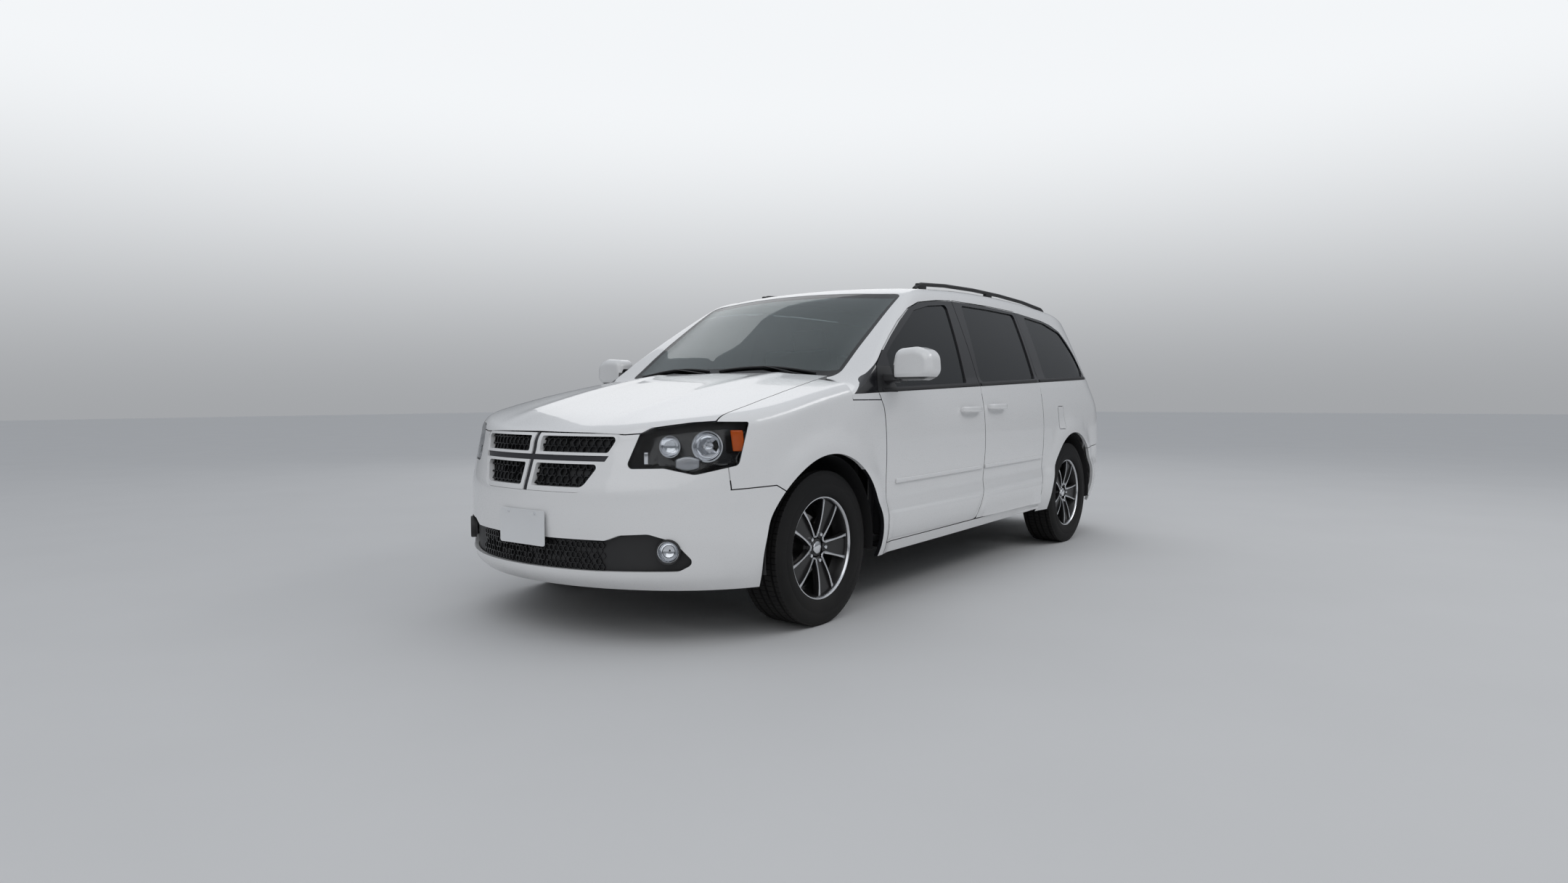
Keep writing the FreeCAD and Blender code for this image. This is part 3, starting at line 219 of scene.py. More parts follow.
def mix(tree, mask, first, second, kind="RGBA"):
    """Blends two colours by a mask, or two numbers where kind is VALUE."""
    node = tree.nodes.new("ShaderNodeMix")
    node.data_type = "RGBA" if kind == "RGBA" else "FLOAT"
    tree.links.new(mask, node.inputs["Factor"])
    sockets = [s for s in node.inputs if s.name in ("A", "B") and s.type == kind]
    for socket, value in zip(sockets, (first, second)):
        if isinstance(value, (int, float)):
            socket.default_value = value
        elif isinstance(value, tuple):
            socket.default_value = value + (1.0,)
        else:
            tree.links.new(value, socket)
    return [s for s in node.outputs if s.type == kind][0]


def new_material(name):
    material = bpy.data.materials.new(name)
    material.use_nodes = True
    tree = material.node_tree
    place = tree.nodes.new("ShaderNodeTexCoord").outputs["Object"]
    return material, tree, tree.nodes["Principled BSDF"].inputs, place


def add_bump(tree, sockets, height, strength, distance):
    bump = tree.nodes.new("ShaderNodeBump")
    bump.inputs["Strength"].default_value = strength
    bump.inputs["Distance"].default_value = distance
    tree.links.new(height, bump.inputs["Height"])
    tree.links.new(bump.outputs["Normal"], sockets["Normal"])


WHITE = (0.80, 0.80, 0.80)
DUST = (0.33, 0.30, 0.26)
GLOSS_BLACK = (0.012, 0.012, 0.014)
MIRROR_BLACK = (0.02, 0.02, 0.021)
TRIM_GREY = (0.09, 0.09, 0.095)


def plain_finish(name, colour, rough, metal=0.0, grain=900.0, spread=0.12, bump=0.15, depth=0.0002, dust=0.0,
                 tone=0.12):
    """A moulded, cast or painted surface with grain, a little colour change and road dust."""
    material, tree, sockets, place = new_material(name)
    sockets["Metallic"].default_value = metal
    grains = use_group(tree, grain_group, place, Scale=grain, Base=rough, Spread=spread)
    tree.links.new(grains["Roughness"], sockets["Roughness"])
    low = tuple(c * (1 - tone) for c in colour)
    high = tuple(min(c * (1 + tone), 1.0) for c in colour)
    tint = mix(tree, noise(tree, place, 6.0, 4.0), low, high)
    if dust:
        tint = mix(tree, use_group(tree, dust_group, place, Top=0.75, Amount=dust)["Mask"], tint, DUST)
    tree.links.new(tint, sockets["Base Color"])
    add_bump(tree, sockets, grains["Height"], bump, depth)
    return material


# Where the dark parts of painted panels end: height of the panels' painted part, inner walls of the
# cabin, painted shade on the walls of the gaps between panels, and foot and arm of the door mirrors.
PANEL_TOP = 1.06
CABIN_START, CABIN_END, CABIN_REACH = -1.13, 2.12, 0.900
TAIL_START, TAIL_NARROWING = 1.9, 0.30
GAP_SHADE_END, FRONT_END = 1.2, -2.2
FENDER_REAR, FENDER_REAR_TOP, FENDER_FOOT, FENDER_REACH = -1.2, 1.02, 0.70, 0.80
FOOT_OUT, FOOT_LOW, FOOT_TOP = 0.955, 1.085, 1.140
ARM_OUT, ARM_FRONT, MIRROR_FRONT, MIRROR_LOW_TOP = 0.985, -0.98, -0.94, 1.20
COAT = 0.9


def painted_gap_shade(tree, x, out, z, kind):
    """Painted shade: 1 on the walls of the gaps between panels, which lie in shade on the real car."""
    facing_y, facing_z = axes_of(tree, tree.nodes.new("ShaderNodeTexCoord").outputs["Normal"])[1:]
    side_on = below(tree, math_node(tree, "ABSOLUTE", facing_y), 0.2)
    edge_on = below(tree, math_node(tree, "ABSOLUTE", facing_z), 0.12)
    if kind == "side":
        return product(tree, side_on, below(tree, z, PANEL_TOP), below(tree, x, GAP_SHADE_END))
    if kind == "hood":
        return product(tree, edge_on, above(tree, x, FRONT_END))
    rear = product(tree, side_on, above(tree, x, FENDER_REAR), below(tree, z, FENDER_REAR_TOP))
    low = product(tree, side_on, below(tree, z, FENDER_FOOT))
    top = product(tree, edge_on, below(tree, out, FENDER_REACH), above(tree, x, FRONT_END))
    return either(tree, rear, low, top)


def paint_finish(name, surround=False, inside=False, mirror=False, gap_shade=None):
    """White gloss paint; masks turn window surrounds, inner walls and mirror feet dark, and paint shade on
    the walls of the gaps.
    """
    material, tree, sockets, place = new_material(name)
    sockets["Coat Weight"].default_value = COAT
    sockets["Coat Roughness"].default_value = 0.03
    grains = use_group(tree, grain_group, place, Scale=260.0, Base=0.28, Spread=0.05)
    x, y, z = axes_of(tree, place)
    out = math_node(tree, "ABSOLUTE", y)
    dust = use_group(tree, dust_group, place, Top=0.55, Amount=0.16)["Mask"]
    tint = mix(tree, noise(tree, place, 2.2, 3.0), tuple(c * 0.985 for c in WHITE), WHITE)
    tint = mix(tree, dust, tint, DUST)
    rough = grains["Roughness"]
    if surround:
        mask = use_group(tree, surround_group, place)["Mask"]
        tint = mix(tree, mask, tint, GLOSS_BLACK)
        rough = mix(tree, mask, rough, 0.16, "VALUE")
        tree.links.new(mix(tree, mask, COAT, 0.15, "VALUE"), sockets["Coat Weight"])
    if mirror:
        foot = product(tree, above(tree, out, FOOT_OUT), below(tree, z, FOOT_TOP), above(tree, z, FOOT_LOW))
        arm = product(tree, above(tree, z, belt(-1.0) - 0.003), below(tree, out, ARM_OUT),
                      below(tree, x, ARM_FRONT))
        dark = product(tree, either(tree, foot, arm), below(tree, x, MIRROR_FRONT),
                       below(tree, z, MIRROR_LOW_TOP))
        tint = mix(tree, dark, tint, MIRROR_BLACK)
        rough = mix(tree, dark, rough, 0.5, "VALUE")
    if inside:
        past_tail = math_node(tree, "SUBTRACT", x, TAIL_START, limit=True)
        reach = math_node(tree, "ADD", out, math_node(tree, "MULTIPLY", past_tail, TAIL_NARROWING))
        inner = product(tree, below(tree, reach, CABIN_REACH), below(tree, z, PANEL_TOP),
                        above(tree, x, CABIN_START), below(tree, x, CABIN_END))
        tint = mix(tree, inner, tint, TRIM_GREY)
        rough = mix(tree, inner, rough, 0.7, "VALUE")
    # Painted shade: the walls of the gaps between panels turn gloss black, as they lie in shade on the real
    # car.
    if gap_shade:
        tint = mix(tree, painted_gap_shade(tree, x, out, z, gap_shade), tint, GLOSS_BLACK)
    tree.links.new(tint, sockets["Base Color"])
    tree.links.new(rough, sockets["Roughness"])
    add_bump(tree, sockets, grains["Height"], 0.05, 0.0002)
    return material


def glass_finish(name, colour, clear, rough=0.01, ior=1.45):
    material, tree, sockets, place = new_material(name)
    sockets["Transmission Weight"].default_value = clear
    sockets["IOR"].default_value = ior
    smear = noise(tree, place, 14.0, 3.0)
    tree.links.new(math_node(tree, "MULTIPLY_ADD", smear, 0.02, rough), sockets["Roughness"])
    tree.links.new(mix(tree, smear, tuple(c * 0.92 for c in colour), colour), sockets["Base Color"])
    return material


paint = paint_finish("white_paint")
# The side, door, hood and fender paints carry painted shade on the walls of their gaps.
side_paint = paint_finish("white_paint_side", surround=True, inside=True, gap_shade="side")
door_paint = paint_finish("white_paint_door", surround=True, inside=True, mirror=True, gap_shade="side")
hood_paint = paint_finish("white_paint_hood", gap_shade="hood")
fender_paint = paint_finish("white_paint_fender", gap_shade="fender")
side_tint = glass_finish("tinted_glass", (0.018, 0.022, 0.026), 0.6)
lamp_clear = glass_finish("clear_lamp_lens", (0.96, 0.97, 0.98), 1.0, ior=1.18)
red_lens = glass_finish("red_lamp_lens", (0.50, 0.012, 0.012), 0.45, 0.03)
amber_lens = glass_finish("amber_lamp_lens", (0.80, 0.13, 0.005), 0.25, 0.05)
satin_silver = plain_finish("satin_silver", (0.42, 0.43, 0.45), 0.3, metal=0.8, grain=300.0, bump=0.05)
black_plastic = plain_finish("black_plastic", (0.014, 0.014, 0.015), 0.55, grain=700.0, bump=0.3, dust=0.05)
gloss_black = plain_finish("gloss_black", (0.010, 0.010, 0.011), 0.12, grain=300.0, spread=0.04, bump=0.03)
cross_grey = plain_finish("dark_grey_paint", (0.05, 0.05, 0.055), 0.3, metal=0.6, grain=500.0, bump=0.05)
rubber = plain_finish("tyre_rubber", (0.007, 0.007, 0.0075), 0.75, grain=450.0, bump=0.35, dust=0.06,
                      tone=0.25)
rubber.node_tree.nodes["Principled BSDF"].inputs["Specular IOR Level"].default_value = 0.25
alloy_black = plain_finish("black_alloy", (0.008, 0.008, 0.009), 0.3, grain=400.0, bump=0.08, dust=0.06)
machined = plain_finish("machined_alloy", (0.70, 0.71, 0.73), 0.22, metal=1.0, grain=1500.0, bump=0.1,
                        dust=0.15)
chrome = plain_finish("chrome", (0.82, 0.83, 0.85), 0.07, metal=1.0, grain=200.0, spread=0.04, bump=0.01)
cast_metal = plain_finish("cast_metal", (0.16, 0.155, 0.15), 0.6, metal=0.8, grain=240.0, bump=0.6,
                          depth=0.0006, dust=0.4, tone=0.3)
disc_steel = plain_finish("disc_steel", (0.42, 0.41, 0.40), 0.35, metal=1.0, grain=600.0, bump=0.2, tone=0.2)
under_steel = plain_finish("coated_steel", (0.035, 0.035, 0.036), 0.6, grain=120.0, bump=0.5, depth=0.0008,
                           dust=0.4)
pipe_steel = plain_finish("dull_pipe_steel", (0.30, 0.29, 0.28), 0.45, metal=1.0, grain=300.0, bump=0.3,
                          dust=0.4)
soft_trim = plain_finish("soft_trim", (0.055, 0.055, 0.058), 0.75, grain=520.0, bump=0.6, depth=0.0005)
plate_white = plain_finish("plate_white", (0.74, 0.75, 0.76), 0.35, grain=300.0, bump=0.05, tone=0.03)
mirror_glass = plain_finish("mirror_glass", (0.85, 0.87, 0.88), 0.02, metal=1.0, grain=50.0, spread=0.01,
                            bump=0.0)

# Seat cloth with a fine weave.
WEAVE_SCALE = 160.0
seat_cloth, tree, sockets, place = new_material("seat_cloth")
threads = []
for direction in "XZ":
    weave = tree.nodes.new("ShaderNodeTexWave")
    weave.bands_direction = direction
    weave.inputs["Scale"].default_value = WEAVE_SCALE
    tree.links.new(place, weave.inputs["Vector"])
    threads.append(weave.outputs["Fac"])
weave_mix = product(tree, *threads)
tree.links.new(mix(tree, weave_mix, (0.025, 0.025, 0.028), (0.09, 0.09, 0.10)), sockets["Base Color"])
sockets["Roughness"].default_value = 0.85
sockets["Sheen Weight"].default_value = 0.4
add_bump(tree, sockets, weave_mix, 0.5, 0.0006)

# Windscreen: clear in the middle with a dark printed border, whose foot and head follow the bow.
SCREEN_HALF, SCREEN_SPREAD = 0.640, -0.058
SCREEN_FOOT, SCREEN_HEAD, SCREEN_BOW = -1.235, -0.610, 0.13
SCREEN_TINT = (0.42, 0.52, 0.52)
screen_glass, tree, sockets, place = new_material("windscreen_glass")
x, y, z = axes_of(tree, place)
out = math_node(tree, "ABSOLUTE", y)
square = product(tree, out, out)
side_band = above(tree, out, math_node(tree, "MULTIPLY_ADD", x, SCREEN_SPREAD, SCREEN_HALF))
foot_band = below(tree, x, math_node(tree, "MULTIPLY_ADD", square, SCREEN_BOW, SCREEN_FOOT))
head_band = above(tree, x, math_node(tree, "MULTIPLY_ADD", square, SCREEN_BOW, SCREEN_HEAD))
border = either(tree, side_band, foot_band, head_band)
tree.links.new(mix(tree, border, SCREEN_TINT, GLOSS_BLACK), sockets["Base Color"])
sockets["Transmission Weight"].default_value = 0.95
sockets["IOR"].default_value = 1.45
tree.links.new(math_node(tree, "MULTIPLY_ADD", noise(tree, place, 9.0), 0.010, 0.002), sockets["Roughness"])

# Finish of every node that stays.
node_finish = (
    (paint, "roof_panel front_bumper grille rear_bumper tailgate"),
    (hood_paint, "hood"),
    (fender_paint, "front_fender_left front_fender_right"),
    (side_paint, "fuel_flap body_side_left body_side_right sliding_door_left sliding_door_right"),
    (door_paint, "front_door_left front_door_right"),
    (cross_grey, "grille_cross"),
    (black_plastic, "grille_mesh lower_grille cowl_panel fuel_tank wipers roof_rails"),
    (lamp_clear, "fog_lamps headlamp_left headlamp_right"),
    (red_lens, "tail_lamps"),
    (screen_glass, "windscreen"),
    (side_tint, "side_glass door_glass_left door_glass_right tailgate_glass"),
    (soft_trim, "dashboard steering_wheel"),
    (under_steel, "floor_pan radiator front_subframe rear_axle"),
    (cast_metal, "engine knuckle_left knuckle_right"),
    (pipe_steel, "exhaust"))
for finish, names in node_finish:
    for name in names.split():
        nodes[name].data.materials.clear()
        nodes[name].data.materials.append(finish)

# Making pieces. Points closer than WELD become one.
WELD = 1e-6


def merge(target, part, matrix=None, finish=0):
    """Adds one bmesh to another, moved by a matrix, with a material number."""
    if matrix is not None:
        bmesh.ops.transform(part, matrix=matrix, verts=part.verts)
    if finish is not None:
        for face in part.faces:
            face.material_index = finish
    mesh = bpy.data.meshes.new("part")
    part.to_mesh(mesh)
    part.free()
    target.from_mesh(mesh)
    bpy.data.meshes.remove(mesh)


def add_piece(name, bm, body, finishes, sharp=35.0):
    bmesh.ops.remove_doubles(bm, verts=bm.verts, dist=WELD)
    bmesh.ops.recalc_face_normals(bm, faces=bm.faces)
    mesh = bpy.data.meshes.new(name)
    bm.to_mesh(mesh)
    bm.free()
    for polygon in mesh.polygons:
        polygon.use_smooth = True
    mesh.set_sharp_from_angle(angle=math.radians(sharp))
    piece = bpy.data.objects.new(name, mesh)
    scene.collection.objects.link(piece)
    for finish in finishes:
        mesh.materials.append(finish)
    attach(piece, body)
    return piece


def move(x=0, y=0, z=0):
    return Matrix.Translation((x, y, z))


def turned_by(angle, axis):
    return Matrix.Rotation(angle, 4, axis)


def aimed(place, way, front, top):
    """Moves a part to a place, turned so that its front axis looks along a direction."""
    return Matrix.Translation(place) @ Vector(way).to_track_quat(front, top).to_matrix().to_4x4()


def corners_of(bm, angle):
    """Edges where two faces meet at more than an angle."""
    return [e for e in bm.edges if len(e.link_faces) == 2 and e.calc_face_angle(0.0) > angle]


def round_edges(bm, edges, width, segments=2):
    bmesh.ops.bevel(bm, geom=edges, offset=width, offset_type="OFFSET", segments=segments, profile=0.5,
                    affect="EDGES", material=-1)


def block(size, centre=(0, 0, 0), edge=0.003, segments=3, cuts=0):
    """A box with rounded edges; cuts divides it along its longest side."""
    bm = bmesh.new()
    bmesh.ops.create_cube(bm, size=1.0)
    bmesh.ops.scale(bm, vec=size, verts=bm.verts)
    if cuts:
        longest = max(range(3), key=lambda i: size[i])
        along = [e for e in bm.edges
                 if abs((e.verts[0].co - e.verts[1].co)[longest]) > size[longest] * 0.9]
        bmesh.ops.subdivide_edges(bm, edges=along, cuts=cuts, use_grid_fill=True)
    if edge:
        round_edges(bm, corners_of(bm, 0.5), edge, segments)
    bmesh.ops.translate(bm, vec=centre, verts=bm.verts)
    return bm


def stud(foot, top, depth, sides):
    """A round plug along Z with two radii, or a nut where it has few sides."""
    bm = bmesh.new()
    bmesh.ops.create_cone(bm, cap_ends=True, segments=sides, radius1=foot, radius2=top, depth=depth)
    return bm


def turned(profile, steps, closed=True):
    """A ring turned about the Y axis from (radius, y) points."""
    bm = bmesh.new()
    verts = [bm.verts.new((radius, y, 0)) for radius, y in profile]
    edges = [bm.edges.new(pair) for pair in zip(verts, verts[1:])]
    if closed:
        edges.append(bm.edges.new((verts[-1], verts[0])))
    bmesh.ops.spin(bm, geom=verts + edges, cent=(0, 0, 0), axis=(0, 1, 0), dvec=(0, 0, 0), angle=math.tau,
                   steps=steps, use_merge=True, use_duplicate=False)
    bmesh.ops.remove_doubles(bm, verts=bm.verts, dist=WELD)
    bmesh.ops.recalc_face_normals(bm, faces=bm.faces)
    return bm


def swept(points, radii, sides=10, flat=1.0):
    """A round bar along points; flat squeezes its section upwards."""
    bm = bmesh.new()
    rings = []
    last = len(points) - 1
    for i, point in enumerate(points):
        way = Vector(points[min(i + 1, last)]) - Vector(points[max(i - 1, 0)])
        across = aimed(point, way, "Z", "Y")
        radius = radii[i] if isinstance(radii, (list, tuple)) else radii
        made = bmesh.ops.create_circle(bm, cap_ends=i in (0, last), segments=sides, radius=radius,
                                       matrix=across @ Matrix.Diagonal((1, flat, 1, 1)))
        rings.append(list({e for v in made["verts"] for e in v.link_edges}))
    for first, second in zip(rings, rings[1:]):
        bmesh.ops.bridge_loops(bm, edges=first + second)
    return bm


def copy_of(*names):
    """A copy of the meshes of CAD nodes."""
    bm = bmesh.new()
    for name in names:
        bm.from_mesh(nodes[name].data)
    return bm


def middle_of(bm):
    return sum((v.co for v in bm.verts), Vector()) / len(bm.verts)


def surface_of(*names):
    """Search tree over CAD nodes, to lay pieces on them."""
    bm = copy_of(*names)
    tree = BVHTree.FromBMesh(bm)
    bm.free()
    return tree


def skin_at(tree, side, x, z):
    """The place on the car's side at x and z, or None past its edge."""
    return tree.ray_cast(Vector((x, side * 2.0, z)), Vector((0, -side, 0)))[0]


def drop_on(tree, bm, side, keep=0.0):
    """Moves a part's points out to the side of the car; their own y is the height above the skin."""
    for vert in bm.verts:
        hit = skin_at(tree, side, vert.co.x, vert.co.z)
        if hit is not None:
            vert.co.y = hit.y + side * (vert.co.y + keep)
            vert.tag = True
    landed = [v for v in bm.verts if v.tag]
    for vert in bm.verts:
        if not vert.tag:
            vert.co.y = min(landed, key=lambda v: (v.co.xz - vert.co.xz).length).co.y


# Tyres: five ribs of tread blocks between four grooves, over rounded sidewalls.
TYRE_RADIUS = 0.354
HALF_TYRE = 0.1122
TREAD_BASE = 0.3475
GROOVE_BASE = 0.3405
RIB_REACH = 0.094
RIB_INSET = 0.0014


def mirrored(half):
    return half + [(radius, -y) for radius, y in reversed(half)]


def tyre_piece(name, body, x, y):
    wall = [(0.2350, 0.094), (0.2390, 0.1012), (0.2480, 0.1065), (0.266, 0.1113), (0.290, HALF_TYRE),
            (0.292, 0.1112), (0.296, 0.1112), (0.298, 0.1117), (0.318, 0.1098), (0.334, 0.1050),
            (0.343, 0.0990), (TREAD_BASE, 0.0960)]
    tread = [(TREAD_BASE, 0.0720), (GROOVE_BASE, 0.0700), (GROOVE_BASE, 0.0640), (TREAD_BASE, 0.0620),
             (TREAD_BASE, 0.0240), (GROOVE_BASE, 0.0220), (GROOVE_BASE, 0.0160), (TREAD_BASE, 0.0140)]
    bm = turned(mirrored(wall + tread), 84)
    ribs = []
    for face in bm.faces:
        middle = face.calc_center_median()
        if abs(math.hypot(middle.x, middle.z) - TREAD_BASE) < 0.001 and abs(middle.y) < RIB_REACH:
            ribs.append(face)
    bmesh.ops.inset_individual(bm, faces=ribs, thickness=RIB_INSET, depth=TYRE_RADIUS - TREAD_BASE - 0.0002,
                               use_even_offset=True)
    whole = bmesh.new()
    merge(whole, bm, move(x, y, HUB))
    piece = add_piece("tread_" + name, whole, body, [rubber], sharp=32.0)
    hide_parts("tyre_" + name)


# Wheels: a barrel, five black spokes with slim machined edges, a hub with nuts and a cap.
SPOKES = 5
SPOKES_OPEN = math.radians(22.0)
SPOKES_CLOSE = math.radians(13.0)
PAIR_START = math.radians(103.0)
RIM_RADIUS = 0.2345
WHEEL_FACE = 0.078
NUT_CIRCLE = 0.062
SPOKE_TIP = 0.231
WEB_START, WEB_STOP = 0.045, 0.228


def round_hub(angle, radius, y=0):
    return Vector((math.cos(angle) * radius, y, math.sin(angle) * radius))


def spoke_bow(t):
    """How far a spoke's face stands out, from its root at 0 to its tip at 1."""
    return -0.012 * (1 - t) ** 2 + 0.004 * math.sin(math.pi * t)


def spoke(angle_in, angle_out, side):
    """One edge of a spoke from the hub to the rim ring, with a machined outer face."""
    inner = round_hub(angle_in, NUT_CIRCLE)
    outer = round_hub(angle_out, SPOKE_TIP)
    way = outer - inner
    bm = block((way.length, 0.030, 0.0115), edge=0, cuts=6)
    for vert in bm.verts:
        t = vert.co.x / way.length + 0.5
        vert.co.z *= 1.25 - 0.45 * math.sin(math.pi * min(t * 1.15, 1.0)) + 0.25 * max(t - 0.85, 0) / 0.15
        vert.co.y += side * spoke_bow(t)
        if vert.co.y * side < 0:
            vert.co.z *= 1.35
    round_edges(bm, corners_of(bm, 0.7), 0.0018)
    bmesh.ops.recalc_face_normals(bm, faces=bm.faces)
    for face in bm.faces:
        face.material_index = 1 if face.normal.y * side > 0.9 else 0
    lie = turned_by(-math.atan2(way.z, way.x), "Y")
    bmesh.ops.transform(bm, matrix=Matrix.Translation((inner + outer) / 2) @ lie, verts=bm.verts)
    return bm


def spoke_web(angle, side):
    """The black spoke between two windows of the wheel, a little under its machined edges."""
    length = WEB_STOP - WEB_START
    bm = block((length, 0.022, 1.0), edge=0, cuts=8)
    for vert in bm.verts:
        t = vert.co.x / length + 0.5
        radius = WEB_START + length * t
        spread = math.pi / SPOKES - (SPOKES_CLOSE + (SPOKES_OPEN - SPOKES_CLOSE) * t ** 0.45)
        vert.co.z *= 2 * radius * math.sin(max(spread, 0.05))
        vert.co.y += side * spoke_bow(t)
        vert.co.x = radius
    bmesh.ops.transform(bm, matrix=turned_by(-angle, "Y"), verts=bm.verts)
    return bm


def wheel_piece(name, body, x, y, side):
    whole = bmesh.new()
    face_y = WHEEL_FACE * side

    def add_ring(profile, steps, finish=0, closed=True):
        merge(whole, turned([(r, w * side) for r, w in profile], steps, closed), finish=finish)

    barrel = [(0.0, 0.0945), (0.0, 0.080), (0.009, 0.076), (0.0125, 0.040), (0.030, 0.020), (0.030, -0.020),
              (0.0125, -0.060), (0.0, -0.080), (0.0, -0.0945), (0.005, -0.0945), (0.007, -0.084),
              (0.0195, -0.058), (0.0365, -0.020), (0.0365, 0.022), (0.0185, 0.046), (0.0145, 0.078),
              (0.0065, 0.0905)]
    ring = [(0.0002, 0.0948), (0.0002, 0.0900), (0.0085, 0.0830), (0.0105, 0.0850), (0.0085, 0.0905),
            (0.0045, 0.0946)]
    add_ring([(RIM_RADIUS - drop, w) for drop, w in barrel], 72)
    add_ring([(RIM_RADIUS - drop, w) for drop, w in ring], 72, finish=1)
    for pair in range(SPOKES):
        middle = PAIR_START + pair * math.tau / SPOKES
        for hand in (-1, 1):
            edge = spoke(middle + hand * SPOKES_CLOSE, middle + hand * SPOKES_OPEN, side)
            merge(whole, edge, move(y=face_y - side * 0.012), finish=None)
        bend = []
        for step in range(9):
            swing_out = math.pi * (step / 8 - 0.5)
            off = middle + SPOKES_CLOSE * math.sin(swing_out)
            bend.append(round_hub(off, 0.063 - 0.010 * math.cos(swing_out), face_y - side * 0.0115))
        merge(whole, swept(bend, 0.0052, sides=8), finish=1)
        nut_angle = middle + math.pi / SPOKES
        merge(whole, spoke_web(nut_angle, side), move(y=face_y - side * 0.0150))
        nut = stud(0.011, 0.0095, 0.020, 6)
        round_edges(nut, nut.edges[:], 0.0012)
        nut_place = Matrix.Translation(round_hub(nut_angle, NUT_CIRCLE, face_y - side * 0.014))
        merge(whole, nut, nut_place @ turned_by(-side * math.pi / 2, "X"), finish=2)
    add_ring([(0.0, -0.020), (0.078, -0.020), (0.080, 0.030), (0.076, 0.042), (0.066, 0.048), (0.046, 0.050),
              (0.040, 0.060), (0.0, 0.060)], 48, closed=False)
    add_ring([(0.0, 0.0735), (0.010, 0.0732), (0.020, 0.0715), (0.0275, 0.0680), (0.0300, 0.0640),
              (0.0300, 0.0560), (0.0, 0.0560)], 40, finish=2, closed=False)
    add_ring([(0.060, -0.022), (0.150, -0.022), (0.150, -0.048), (0.060, -0.048)], 64, finish=3)
    valve = stud(0.004, 0.003, 0.028, 10)
    merge(whole, valve, move(0.205, face_y - side * 0.004, 0.02) @ turned_by(-side * 1.2, "X"))
    bmesh.ops.translate(whole, vec=(x, y, HUB), verts=whole.verts)
    piece = add_piece("road_wheel_" + name, whole, body, [alloy_black, machined, chrome, disc_steel],
                      sharp=32.0)
    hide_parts("wheel_" + name)


for end, axle, track, inner_wall, side, hand in WHEEL_PLACES:
    label = "%s_%s" % (end, hand)
    tyre_piece(label, "wheel_" + label, axle, side * track / 2)
    wheel_piece(label, "wheel_" + label, axle, side * track / 2, side)

# Flat plates: how far their rim stands out.
PLATE_RIM = 0.0012


def rounded_plate(size, corner):
    """A flat plate facing -X with rounded corners and a raised rim."""
    depth, wide, high = size
    bm = block(size, edge=0)
    along = [e for e in bm.edges if abs((e.verts[0].co - e.verts[1].co).x) > depth * 0.5]
    round_edges(bm, along, corner, segments=6)
    front = [f for f in bm.faces if f.normal.x < -0.9]
    bmesh.ops.inset_region(bm, faces=front, thickness=min(wide, high) * 0.03, depth=-PLATE_RIM,
                           use_even_offset=True)
    round_edges(bm, corners_of(bm, 1.0), PLATE_RIM * 0.4)
    return bm


def facing(place, way):
    """Moves a part turned about Y so that its -Y side faces a direction at a place."""
    return aimed(place, Vector(way).normalized(), "-Y", "Z")


# Headlamps: a dark housing with two bright bowls and an amber lamp behind each clear lens.
LENS_SLANT = (0.743, 0.669)
LENS_START, LENS_SPAN = -1.263, 0.514
HOUSING_DEPTH = 0.085


def bowl(radius, depth):
    rim = [(radius * 1.10, -0.002), (radius * 1.10, 0.006)]
    wall = [(radius * math.cos(a) ** 0.8, 0.004 + depth * math.sin(a)) for a in
            (0.15, 0.4, 0.65, 0.9, 1.15, 1.35, 1.52)]
    inner = [(r * 0.97, y - 0.0015) for r, y in reversed(wall)]
    return turned([(radius, -0.002)] + rim + wall + inner, 40)


def lens_spot(tree, side, share, z, depth):
    """A place behind the lens: share is 0 at its inner end and 1 at its outer end."""
    across = Vector((LENS_SLANT[1], side * LENS_SLANT[0], 0))
    inward = Vector((LENS_SLANT[0], -side * LENS_SLANT[1], 0))
    start = across * (LENS_START + LENS_SPAN * share) + Vector((0, 0, z)) - inward * 4.0
    return tree.ray_cast(start, inward)[0] + inward * depth


def headlamp_housing(hand, inward):
    """The back and walls of the lens's own body, sunk into the car."""
    housing = copy_of("headlamp_" + hand)
    bmesh.ops.remove_doubles(housing, verts=housing.verts, dist=1e-5)
    housing.normal_update()
    back = {v for f in housing.faces if f.normal.dot(inward) > 0.35 for v in f.verts}
    front = [f for f in housing.faces if f.normal.dot(inward) < -0.35]
    bmesh.ops.delete(housing, geom=front, context="FACES")
    middle = middle_of(housing)
    for vert in housing.verts:
        vert.co = middle + (vert.co - middle) * 0.992
        if vert in back:
            vert.co += inward * HOUSING_DEPTH
    bmesh.ops.recalc_face_normals(housing, faces=housing.faces)
    bmesh.ops.solidify(housing, geom=housing.faces, thickness=0.0015)
    return housing


